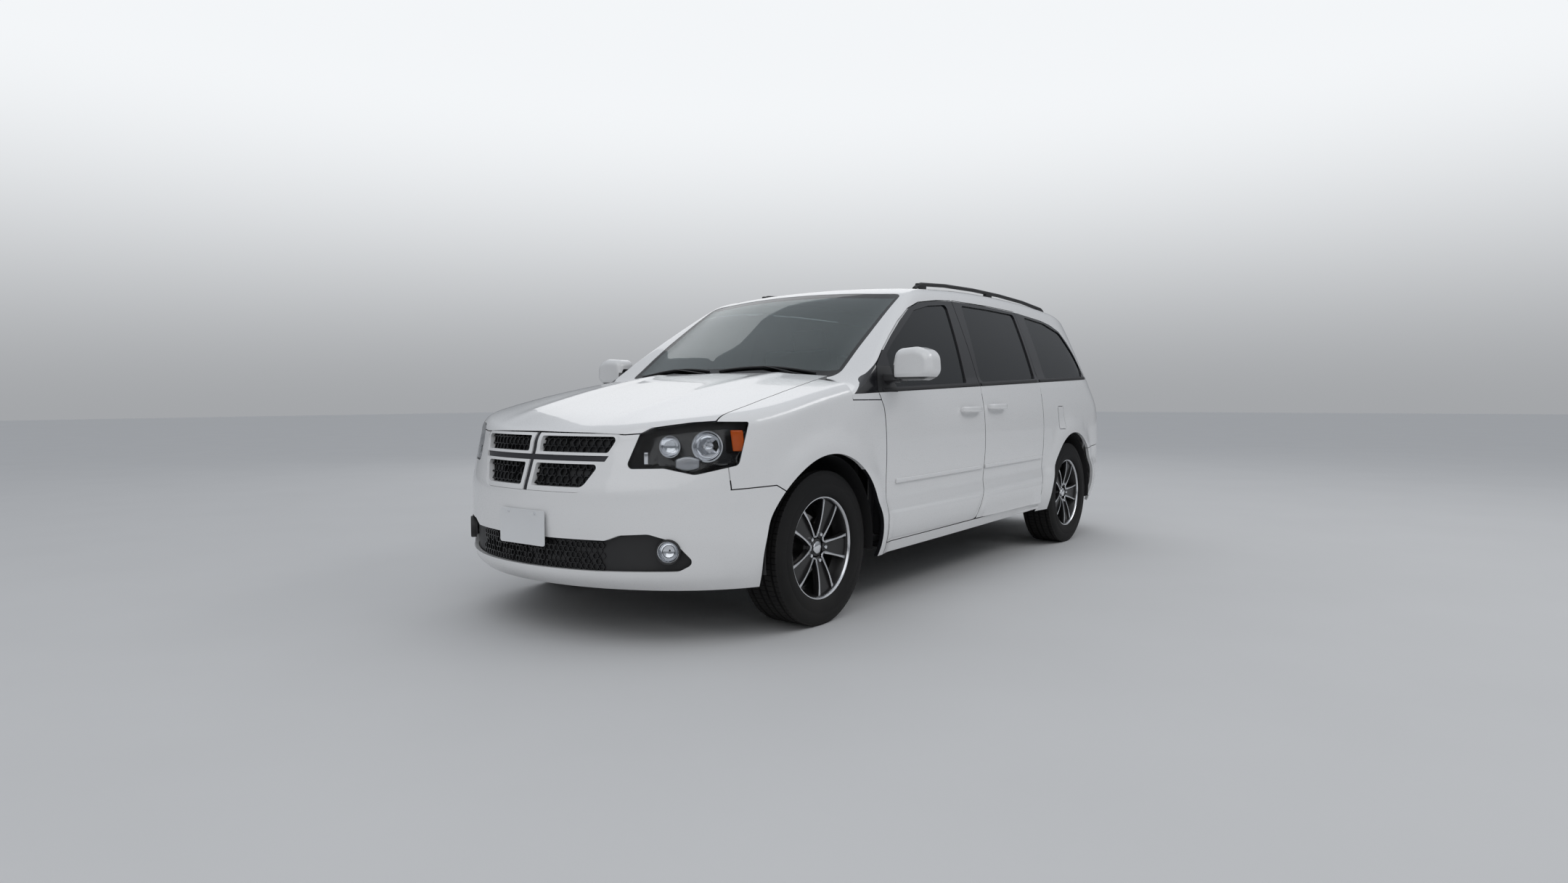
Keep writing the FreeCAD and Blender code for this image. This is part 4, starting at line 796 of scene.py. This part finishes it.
def headlamp_inside(side, hand):
    inward = Vector((LENS_SLANT[0], -side * LENS_SLANT[1], 0))
    lens = surface_of("headlamp_" + hand)
    whole = bmesh.new()
    merge(whole, headlamp_housing(hand, inward))
    small = lens_spot(lens, side, 0.36, 0.838, 0.036)
    large = lens_spot(lens, side, 0.66, 0.838, 0.040)
    merge(whole, bowl(0.042, 0.036), facing(small, (-1, side * 0.45, 0.02)), finish=1)
    merge(whole, bowl(0.060, 0.046), facing(large, (-1, side * 0.55, 0.02)), finish=1)
    ball = bmesh.new()
    bmesh.ops.create_uvsphere(ball, u_segments=28, v_segments=16, radius=0.026)
    merge(whole, ball, Matrix.Translation(small + inward * 0.004), finish=3)
    bulb = stud(0.010, 0.014, 0.05, 20)
    round_edges(bulb, bulb.edges[:], 0.003)
    merge(whole, bulb, Matrix.Translation(large + inward * 0.010) @ turned_by(math.pi / 2, "Y"), finish=1)
    look = -inward
    cradle = block((0.100, 0.016, 0.062), edge=0.007, cuts=6)
    for vert in cradle.verts:
        vert.co.z *= 1.0 - 0.5 * abs(vert.co.x / 0.05) ** 2
    merge(whole, cradle, facing(lens_spot(lens, side, 0.50, 0.768, 0.030), look), finish=4)
    amber = block((0.052, 0.012, 0.088), edge=0.005, cuts=3)
    for vert in amber.verts:
        vert.co.x += vert.co.z * 0.12 * side
    merge(whole, amber, facing(lens_spot(lens, side, 0.905, 0.862, 0.016), look), finish=2)
    blade = block((0.020, 0.012, 0.052), edge=0.004)
    merge(whole, blade, facing(lens_spot(lens, side, 0.17, 0.790, 0.020), look), finish=1)
    add_piece("headlamp_inside_" + hand, whole, "body",
              [gloss_black, chrome, amber_lens, lamp_clear, satin_silver])


def tail_lamp_back(side, hand):
    """A bright shell inside the red lens."""
    shell = copy_of("tail_lamps")
    away = [v for v in shell.verts if v.co.y * side < 0]
    bmesh.ops.delete(shell, geom=away, context="VERTS")
    bmesh.ops.remove_doubles(shell, verts=shell.verts, dist=1e-5)
    middle = middle_of(shell)
    for vert in shell.verts:
        vert.co = middle + (vert.co - middle) * 0.97 + Vector((-0.014, -side * 0.022, 0))
    add_piece("tail_lamp_back_" + hand, shell, "body", [chrome])


for side, hand in SIDES:
    headlamp_inside(side, hand)
    tail_lamp_back(side, hand)


# Honeycomb inserts of the two grilles.
def honeycomb(name, node, half_width, low, high, pitch, wall, depth):
    tree = surface_of(node)
    bm = bmesh.new()
    stand = turned_by(math.pi / 2, "Y")
    rise = pitch * 0.866
    for row in range(int((high - low) / rise) + 1):
        for column in range(int(2 * half_width / pitch) + 1):
            y = -half_width + (column + 0.5 * (row % 2)) * pitch
            z = low + row * rise
            if tree.ray_cast(Vector((-3, y, z)), Vector((1, 0, 0)))[0] is None:
                continue
            bmesh.ops.create_circle(bm, cap_ends=True, segments=6, radius=pitch / math.sqrt(3),
                                    matrix=move(0, y, z) @ stand)
    bmesh.ops.remove_doubles(bm, verts=bm.verts, dist=pitch * 0.02)
    bmesh.ops.recalc_face_normals(bm, faces=bm.faces)
    cells = bm.faces[:]
    bmesh.ops.inset_individual(bm, faces=cells, thickness=wall / 2, depth=0.0, use_even_offset=True)
    bmesh.ops.delete(bm, geom=cells, context="FACES")
    bmesh.ops.solidify(bm, geom=bm.faces, thickness=depth)
    for vert in bm.verts:
        hit = tree.ray_cast(Vector((-3, vert.co.y, vert.co.z)), Vector((1, 0, 0)))[0]
        if hit is None:
            hit = tree.find_nearest(Vector((-2.45, vert.co.y, vert.co.z)))[0]
        vert.co.x += hit.x - depth * 0.5 - 0.001
    add_piece(name, bm, "body", [gloss_black], sharp=30.0)


honeycomb("grille_honeycomb", "grille_mesh", 0.445, 0.665, 0.885, pitch=0.036, wall=0.006, depth=0.010)
honeycomb("lower_honeycomb", "lower_grille", 0.400, 0.338, 0.440, pitch=0.026, wall=0.005, depth=0.006)

# Fog lamps: a lens, a bright bowl and a black ring.
FOG_PLACE = (-2.371, 0.671, 0.410)
FOG_LOOK = (-0.82, 0.57)
fog = bmesh.new()
rings = bmesh.new()
for side, hand in SIDES:
    look = Vector((FOG_LOOK[0], side * FOG_LOOK[1], 0))
    place = Vector((FOG_PLACE[0], side * FOG_PLACE[1], FOG_PLACE[2]))
    lens = [(0.0, -0.004), (0.020, -0.003), (0.036, 0.001), (0.0445, 0.007), (0.0445, 0.011), (0.0, 0.008)]
    merge(fog, turned(lens, 40, closed=False), facing(place, look))
    merge(fog, bowl(0.042, 0.034), facing(place - look * 0.010, look), finish=1)
    collar = [(0.0450, -0.006), (0.0500, -0.007), (0.0530, -0.001), (0.0530, 0.020), (0.0450, 0.020)]
    merge(rings, turned(collar, 48), facing(place, look))
fog_piece = add_piece("fog_lamp_glass", fog, "body", [lamp_clear, chrome])
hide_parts("fog_lamps")
add_piece("fog_lamp_rings", rings, "body", [black_plastic])


# Blank number plates, front and rear, with their screws.
def number_plate(name, body, place, heading):
    bm = bmesh.new()
    stand = Matrix.Translation(place) @ turned_by(heading, "Z")
    merge(bm, rounded_plate((0.003, 0.304, 0.152), 0.012), stand)
    merge(bm, block((0.004, 0.270, 0.120), (0.0035, 0, 0), edge=0.001), stand, finish=1)
    for y in (-0.089, 0.089):
        screw = stud(0.0065, 0.005, 0.004, 12)
        merge(bm, screw, stand @ move(-0.0022, y, 0.062) @ turned_by(-math.pi / 2, "Y"), finish=2)
    add_piece(name, bm, body, [plate_white, black_plastic, chrome])


number_plate("front_plate", "body", (-2.5825, 0, 0.488), 0)
number_plate("rear_plate", "tailgate", (2.5330, 0, 0.880), math.pi)

# Door handles, side mouldings, belt seals and mirror glass.
MOULD_LEFT = -1.050
MOULD_HEIGHT = 0.6205
MOULD_SLOPE = 0.01224
HANDLE_LENGTH = 0.232
HANDLE_STAND = 0.029
MIRROR_PLACE = (-0.9755, 1.078, 1.204)


def mould_line(x):
    return MOULD_HEIGHT + MOULD_SLOPE * (x - MOULD_LEFT)


def seal_line(x):
    return belt(x) + 0.012


def lay_strip(strip, node, side, middle, height_at, keep):
    """Bends a strip to a line of heights and lays it on the side of the car."""
    for vert in strip.verts:
        vert.co.x += middle
        vert.co.z += height_at(vert.co.x)
    drop_on(surface_of(node), strip, side, keep)


def side_moulding(name, node, body, side, start, stop):
    strip = block((stop - start, 0.012, 0.023), edge=0.0045, cuts=22)
    lay_strip(strip, node, side, (start + stop) / 2, mould_line, keep=0.005)
    add_piece(name, strip, body, [paint])


def door_handle(name, node, body, side, x, z):
    """A bowed bar with the lock's barrel at its rear end."""
    skin_y = skin_at(surface_of(node), side, x - 0.11, z).y
    bar = block((HANDLE_LENGTH, 0.018, 0.034), edge=0.0075, cuts=12)
    for vert in bar.verts:
        t = vert.co.x / HANDLE_LENGTH
        vert.co.y += HANDLE_STAND * math.sqrt(max(1 - (2 * t) ** 4, 0.0)) + 0.004
        vert.co.y = skin_y + side * vert.co.y
        vert.co.z = z + vert.co.z * (1.0 - 0.25 * abs(t))
        vert.co.x += x
    whole = bmesh.new()
    merge(whole, bar)
    barrel = stud(0.0085, 0.0085, 0.006, 24)
    merge(whole, barrel, move(x + 0.103, skin_y + side * 0.010, z) @ turned_by(math.pi / 2, "X"), finish=1)
    add_piece(name, whole, body, [paint, chrome])


def belt_seal(name, node, body, side, start, stop):
    seal = block((stop - start, 0.007, 0.016), edge=0.0025, cuts=20)
    lay_strip(seal, node, side, (start + stop) / 2, seal_line, keep=0.002)
    add_piece(name, seal, body, [black_plastic])


for side, hand in SIDES:
    front_door, slide_door, swing_body = "front_door_" + hand, "sliding_door_" + hand, "door_" + hand
    side_moulding("front_door_moulding_" + hand, front_door, swing_body, side, -1.045, -0.062)
    door_handle("front_door_handle_" + hand, front_door, swing_body, side, -0.209, 0.970)
    side_moulding("sliding_door_moulding_" + hand, slide_door, "body", side, -0.022, 0.868)
    door_handle("sliding_door_handle_" + hand, slide_door, "body", side, 0.150, 0.983)
    belt_seal("front_belt_seal_" + hand, front_door, swing_body, side, -1.118, -0.034)
    belt_seal("slide_belt_seal_" + hand, slide_door, "body", side, 0.004, 0.892)
    belt_seal("quarter_belt_seal_" + hand, "body_side_" + hand, "body", side, 0.946, 1.925)
    mirror = bmesh.new()
    mirror_at = move(MIRROR_PLACE[0], side * MIRROR_PLACE[1], MIRROR_PLACE[2])
    merge(mirror, rounded_plate((0.004, 0.186, 0.122), 0.034), mirror_at @ turned_by(math.pi, "Z"))
    add_piece("mirror_glass_" + hand, mirror, swing_body, [mirror_glass])

# Lower door skins: a crease above the sill, proud of each door by a few millimetres.
CREASE_TOP = 0.478
CREASE_FOOT = 0.336
SKIN_DEPTH = 0.0096
# Share of the way up from foot to crease, and rise above the door's skin.
SKIN_ROWS = ((0.0, 0.0040), (0.06, 0.0070), (0.4, 0.0080), (0.80, 0.0080), (0.85, 0.0076), (0.885, 0.0064),
             (0.92, 0.0046), (0.95, 0.0028), (0.98, 0.0012), (1.0, 0.0004))


def lower_skin(name, node, body, side, ends):
    """A thin closed skin on the foot of a door; ends gives x at its foot and its crease, front and rear."""
    skin = bmesh.new()
    last_row = len(SKIN_ROWS) - 1
    bmesh.ops.create_grid(skin, x_segments=48, y_segments=last_row, size=0.5)
    for vert in skin.verts:
        share, rise = SKIN_ROWS[round((vert.co.y + 0.5) * last_row)]
        front, rear = (foot + (top - foot) * share for foot, top in ends)
        t = vert.co.x + 0.5
        rise *= min(1.0, 0.35 + 40 * min(t, 1 - t))
        vert.co = Vector((front + (rear - front) * t, rise, CREASE_FOOT + (CREASE_TOP - CREASE_FOOT) * share))
    drop_on(surface_of(node), skin, side)
    back = skin.copy()
    for vert in back.verts:
        vert.co.y -= side * SKIN_DEPTH
    bmesh.ops.reverse_faces(back, faces=back.faces[:])
    merge(skin, back)
    bmesh.ops.bridge_loops(skin, edges=[edge for edge in skin.edges if edge.is_boundary])
    add_piece(name, skin, body, [paint], sharp=50.0)


for side, hand in SIDES:
    lower_skin("front_door_foot_" + hand, "front_door_" + hand, "door_" + hand, side,
               ((-1.1225, -1.1275), (-0.140, -0.052)))
    lower_skin("sliding_door_foot_" + hand, "sliding_door_" + hand, "body", side,
               ((-0.095, -0.020), (0.876, 0.882)))

# Roof rails: bars that run down into their end feet, with one foot between.
RAIL_Y = 0.585
RAIL_LIFTS = ((-0.185, 0.004), (-0.165, 0.010), (-0.135, 0.022), (-0.10, 0.029), (0.2, 0.032), (0.6, 0.033),
              (1.0, 0.033), (1.4, 0.032), (1.74, 0.029), (1.775, 0.022), (1.80, 0.010), (1.815, 0.004))
RAIL_RADII = [0.010, 0.014] + [0.0155] * 8 + [0.014, 0.010]
RAIL_FEET = ((-0.10, 0.10), (0.83, 0.09), (1.72, 0.10))
DOWN = Vector((0, 0, -1))
roof_tree = surface_of("body_side_left", "body_side_right", "roof_panel")


def on_roof(x, y, lift):
    return Vector((x, y, roof_tree.ray_cast(Vector((x, y, 3.0)), DOWN)[0].z + lift))


rails = bmesh.new()
for side, hand in SIDES:
    points = [on_roof(x, side * RAIL_Y, lift) for x, lift in RAIL_LIFTS]
    merge(rails, swept(points, RAIL_RADII, sides=16, flat=0.75))
    for x, length in RAIL_FEET:
        foot = block((length, 0.026, 0.030), edge=0.006)
        merge(rails, foot, Matrix.Translation(on_roof(x, side * RAIL_Y, 0.0175)))
rail_piece = add_piece("roof_rail_bars", rails, "body", [black_plastic])
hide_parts("roof_rails")

# Wipers on the windscreen, each a pivot, an arm and a blade.
BLADE_POINTS = 12
BLADE_LIFT = 0.008
# Pivot, and start and stop of the blade across the car.
WIPERS = ((-0.565, -0.600, 0.010), (0.060, 0.080, 0.660))
screen_tree = surface_of("windscreen")


def on_screen(x, y, lift):
    hit = screen_tree.ray_cast(Vector((x, y, 3.0)), DOWN)[0]
    return Vector((x, y, (hit.z if hit else 1.14) + lift))


def screen_foot(y):
    return -1.298 + 0.07 * (abs(y) / 0.735) ** 2


wiper_set = bmesh.new()
for pivot, start, stop in WIPERS:
    blade = []
    for i in range(BLADE_POINTS):
        t = i / (BLADE_POINTS - 1)
        y = start + (stop - start) * i / (BLADE_POINTS - 1)
        blade.append(on_screen(screen_foot(y) + 0.034 + 0.028 * math.sin(math.pi * t), y, BLADE_LIFT))
    radii = [0.003] + [0.0055] * (BLADE_POINTS - 2) + [0.003]
    merge(wiper_set, swept(blade, radii, sides=8, flat=1.2))
    merge(wiper_set, swept([p - Vector((0, 0, 0.005)) for p in blade], 0.0020, sides=6))
    hub_x = screen_foot(pivot) + 0.006
    hub_place = Vector((hub_x, pivot, on_screen(hub_x + 0.010, pivot, 0).z - 0.004))
    arm = [hub_place]
    for share, lift in ((0.15, 0.006), (0.5, 0.007), (0.85, 0.007), (1.0, 0.005)):
        arm.append(hub_place.lerp(blade[BLADE_POINTS // 2], share) + Vector((0, 0, lift)))
    merge(wiper_set, swept(arm, [0.009, 0.008, 0.007, 0.006, 0.0055], sides=10, flat=0.5))
    merge(wiper_set, stud(0.013, 0.010, 0.014, 24), Matrix.Translation(hub_place))
wiper_piece = add_piece("wiper_arms", wiper_set, "body", [black_plastic])
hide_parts("wipers")

# Cowl seal: a black trim under the hood's rear edge, out to the fenders.
SEAL_MIDDLE, SEAL_LENGTH, SEAL_WIDTH = -1.330, 0.170, 1.600
SEAL_GAP = 0.014
SEAL_REST = 1.02
hood_tree = surface_of("hood")
seal = bmesh.new()
bmesh.ops.create_grid(seal, x_segments=12, y_segments=48, size=0.5)
for vert in seal.verts:
    x = SEAL_MIDDLE + SEAL_LENGTH * vert.co.x
    y = SEAL_WIDTH * vert.co.y
    lows = []
    for step in range(8):
        hit = hood_tree.ray_cast(Vector((-1.460 + 0.020 * step, y, 0.9)), Vector((0, 0, 1)))[0]
        if hit is not None:
            lows.append(hit.z)
    vert.co = Vector((x, y, min(lows) - SEAL_GAP if lows else SEAL_REST))
bmesh.ops.smooth_vert(seal, verts=seal.verts, factor=0.5, use_axis_x=False, use_axis_y=False, use_axis_z=True)
bmesh.ops.solidify(seal, geom=seal.faces, thickness=0.003)
add_piece("cowl_seal", seal, "body", [black_plastic])


# Seats: crowned cushions and backs on plinths, with head restraints.
def pad(size, round_edge, crown):
    """A stuffed pad: rounded block whose faces bulge and whose sides pull in between the corners."""
    bm = block(size, edge=round_edge, segments=4)
    bmesh.ops.subdivide_edges(bm, edges=bm.edges[:], cuts=2, use_grid_fill=True)
    for vert in bm.verts:
        u, v, w = (vert.co[i] / (size[i] / 2) for i in range(3))
        vert.co.z += crown * (1 - u * u) * (1 - v * v) * (1 if w > 0 else -0.2)
        vert.co.x *= 1 - 0.02 * (1 - v * v)
        vert.co.y *= 1 - 0.02 * (1 - u * u)
    return bm


FLOOR = 0.360
BACK_LEAN = math.radians(103.5)


def seat_pieces(group, label, x, y, width, floor, places):
    """One seat from the front edge of its cushion at x; places are its head restraints across the car."""
    lean = turned_by(-BACK_LEAN, "Y")
    cushion, back, rests, posts = (bmesh.new() for part in range(4))
    merge(cushion, pad((0.52, width, 0.15), 0.045, 0.012), move(x + 0.26, y, floor + 0.325))
    merge(back, pad((0.62, width, 0.11), 0.040, 0.010), move(x + 0.575, y, floor + 0.695) @ lean)
    for place in places:
        merge(rests, pad((0.17, 0.25, 0.09), 0.035, 0.006), move(x + 0.665, place, floor + 1.055) @ lean)
        for offset in (-0.055, 0.055):
            post = [(x + 0.642, place + offset, floor + 0.93), (x + 0.658, place + offset, floor + 1.02)]
            merge(posts, swept(post, 0.006, sides=10))
    merge(posts, block((0.40, width - 0.12, 0.25), (x + 0.26, y, floor + 0.125), edge=0.02), finish=1)
    for part, bm, fill in (("cushion", cushion, 0.85), ("back", back, 0.85), ("head", rests, 0.9)):
        piece = add_piece("%s_%s_%s" % (group, label, part), bm, "body", [seat_cloth], sharp=60.0)
        if part == "cushion":
            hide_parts(group)
    add_piece("%s_%s_frame" % (group, label), posts, "body", [chrome, black_plastic])


for side, hand in SIDES:
    seat_pieces("front_seats", hand, -0.560, side * 0.38, 0.50, FLOOR, [side * 0.38])
    seat_pieces("middle_seats", hand, 0.330, side * 0.38, 0.50, FLOOR, [side * 0.38])
seat_pieces("rear_seat", "bench", 1.330, 0.0, 1.15, FLOOR + 0.080, [-0.38, 0.0, 0.38])

# Dashboard with its binnacle, screen and vents, and the hub and spokes of the steering wheel.
dash = bmesh.new()
merge(dash, block((0.335, 1.515, 0.255), (-0.930, 0, 0.890), edge=0.060, segments=6, cuts=10))
merge(dash, block((0.22, 0.40, 0.10), (-0.875, -0.38, 1.000), edge=0.040, segments=5))
merge(dash, block((0.10, 0.26, 0.20), (-0.775, 0.0, 0.900), edge=0.020), finish=1)
for x, y in ((-0.765, -0.66), (-0.724, -0.07), (-0.724, 0.07), (-0.765, 0.66)):
    merge(dash, block((0.012, 0.11, 0.06), (x, y, 0.955), edge=0.010), finish=1)
dash_piece = add_piece("dash_moulding", dash, "body", [soft_trim, gloss_black])
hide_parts("dashboard")
WHEEL_PLACE = Vector((-0.640, -0.380, 0.960))
WHEEL_LEAN = Vector((0.9, 0, -0.45)).normalized()
WHEEL_UP = WHEEL_LEAN.cross(Vector((0, 1, 0)))
hub = bmesh.new()
merge(hub, pad((0.15, 0.16, 0.045), 0.015, 0.006),
      aimed(WHEEL_PLACE - WHEEL_LEAN * 0.02, WHEEL_LEAN, "Z", "Y"))
for angle in (0.15, math.pi - 0.15, math.pi * 1.5):
    across = Vector((0, math.cos(angle), 0)) + WHEEL_UP * math.sin(angle)
    ends = [WHEEL_PLACE + across * 0.06, WHEEL_PLACE + across * 0.12 - WHEEL_LEAN * 0.008,
            WHEEL_PLACE + across * 0.182]
    merge(hub, swept(ends, [0.024, 0.017, 0.013], sides=12, flat=0.6))
column = [WHEEL_PLACE - WHEEL_LEAN * 0.01, WHEEL_PLACE - WHEEL_LEAN * 0.20]
merge(hub, swept(column, [0.030, 0.045], sides=20))
add_piece("steering_hub", hub, "body", [soft_trim])

# Wheelhouse liners, open below, and brake calipers.
LINER_EDGE = 0.925
for end, axle, track, inner_wall, side, hand in WHEEL_PLACES:
    profile = [(0.428, LINER_EDGE), (0.424, 0.86), (0.424, inner_wall + 0.03), (0.400, inner_wall),
               (0.050, inner_wall)]
    liner = turned([(r, side * w) for r, w in profile], 72, closed=False)
    bmesh.ops.bisect_plane(liner, geom=liner.verts[:] + liner.edges[:] + liner.faces[:], dist=1e-5,
                           plane_co=(0, 0, -0.06), plane_no=(0, 0, -1), clear_outer=True)
    bmesh.ops.solidify(liner, geom=liner.faces, thickness=0.0025)
    bmesh.ops.translate(liner, vec=(axle, 0, HUB), verts=liner.verts)
    add_piece("wheelhouse_%s_%s" % (end, hand), liner, "body", [black_plastic])
for end, axle, track, inner_wall, side, hand in WHEEL_PLACES:
    caliper = bmesh.new()
    clamp_at = move(axle, side * track / 2, HUB) @ turned_by(-0.5, "Y")
    for size, x, y in (((0.052, 0.013, 0.115), 0.138, -0.010), ((0.052, 0.021, 0.115), 0.138, -0.0635)):
        merge(caliper, block(size, (x, y * side, 0), edge=0.006), clamp_at)
    merge(caliper, block((0.018, 0.070, 0.075), (0.166, -0.038 * side, 0), edge=0.005), clamp_at)
    body = "steer_" + hand if end == "front" else "body"
    add_piece("caliper_%s_%s" % (end, hand), caliper, body, [cast_metal])

# Tailgate: grip strip, high lamp and wiper.
GRIP_HEIGHT = 1.015
STOP_LAMP_HEIGHT = 1.583
gate_tree = surface_of("tailgate", "tailgate_glass")


def behind(y, z, lift=0.0):
    """A place on the tailgate's outside, at a distance behind it."""
    hit = gate_tree.ray_cast(Vector((4.0, y, z)), Vector((-1, 0, 0)))[0]
    return Vector(((hit.x if hit else 2.45) + lift, y, z))


def gate_strip(name, size, edge, cuts, height, lift, finish):
    strip = block(size, edge=edge, cuts=cuts)
    for vert in strip.verts:
        vert.co.x += behind(vert.co.y, height).x + lift
        vert.co.z += height
    add_piece(name, strip, "tailgate", [finish])


gate_strip("gate_grip", (0.022, 0.74, 0.052), 0.009, 14, GRIP_HEIGHT, 0.004, paint)
gate_strip("high_stop_lamp", (0.012, 0.30, 0.020), 0.004, 8, STOP_LAMP_HEIGHT, 0.001, red_lens)
rear_wiper = bmesh.new()
blade = [behind(0.02 + 0.34 * i / 8, 1.205 + 0.03 * i / 8, 0.012) for i in range(9)]
merge(rear_wiper, swept(blade, [0.003] + [0.006] * 7 + [0.003], sides=8))
arm = [behind(0.0, 1.150, 0.016), behind(0.08, 1.175, 0.030), blade[4] + Vector((0.010, 0, 0))]
merge(rear_wiper, swept(arm, [0.012, 0.009, 0.006], sides=10, flat=0.7))
add_piece("rear_wiper", rear_wiper, "tailgate", [black_plastic])

# Plain floor.
floor_mesh = bmesh.new()
bmesh.ops.create_grid(floor_mesh, x_segments=2, y_segments=2, size=60.0)
floor_data = bpy.data.meshes.new("studio_floor")
floor_mesh.to_mesh(floor_data)
floor_mesh.free()
studio_floor = bpy.data.objects.new("studio_floor", floor_data)
scene.collection.objects.link(studio_floor)
floor_finish, tree, sockets, place = new_material("pale_floor")
tree.links.new(mix(tree, noise(tree, place, 1.2, 4.0), (0.60, 0.60, 0.60), (0.64, 0.64, 0.64)),
               sockets["Base Color"])
sockets["Roughness"].default_value = 0.7
floor_data.materials.append(floor_finish)

# World: a soft sky that lights the car, and a paler backdrop that only the camera sees.
SKY = (0.90, 0.94, 1.0, 1.0)
BACKDROP_LOW, BACKDROP_HIGH = (0.37, 0.38, 0.395), (0.90, 0.92, 0.94)
world = bpy.data.worlds.new("studio_world")
scene.world = world
world.use_nodes = True
tree = world.node_tree
height = axes_of(tree, tree.nodes.new("ShaderNodeTexCoord").outputs["Generated"])[2]
sky = tree.nodes["Background"]
sky.inputs["Color"].default_value = SKY
tree.links.new(smooth_rise(tree, height, -0.05, 0.85, 0.20, 0.66), sky.inputs["Strength"])
backdrop = tree.nodes.new("ShaderNodeBackground")
backdrop_colour = mix(tree, smooth_rise(tree, height, -0.02, 0.30, 0.0, 1.0), BACKDROP_LOW, BACKDROP_HIGH)
tree.links.new(backdrop_colour, backdrop.inputs["Color"])
blend_sky = tree.nodes.new("ShaderNodeMixShader")
rays = tree.nodes.new("ShaderNodeLightPath")
tree.links.new(rays.outputs["Is Camera Ray"], blend_sky.inputs["Fac"])
tree.links.new(sky.outputs[0], blend_sky.inputs[1])
tree.links.new(backdrop.outputs[0], blend_sky.inputs[2])
tree.links.new(blend_sky.outputs[0], tree.nodes["World Output"].inputs["Surface"])


# Lamps.
def area_light(name, place, aim, size, power):
    data = bpy.data.lights.new(name, "AREA")
    data.shape = "RECTANGLE"
    data.size, data.size_y = size
    data.energy = power
    lamp = bpy.data.objects.new(name, data)
    scene.collection.objects.link(lamp)
    lamp.matrix_world = aimed(place, Vector(aim) - Vector(place), "-Z", "Y")


area_light("key_light", (-8.5, -3.5, 6.5), (0, 0, 0.6), (11.0, 9.0), 210)
area_light("side_light", (2.5, -6.5, 6.5), (0, 0, 0.6), (9.0, 1.6), 130)
area_light("back_light", (6.0, 6.0, 6.0), (0, 0, 0.8), (8.0, 6.0), 100)
scene.view_settings.view_transform = "Standard"
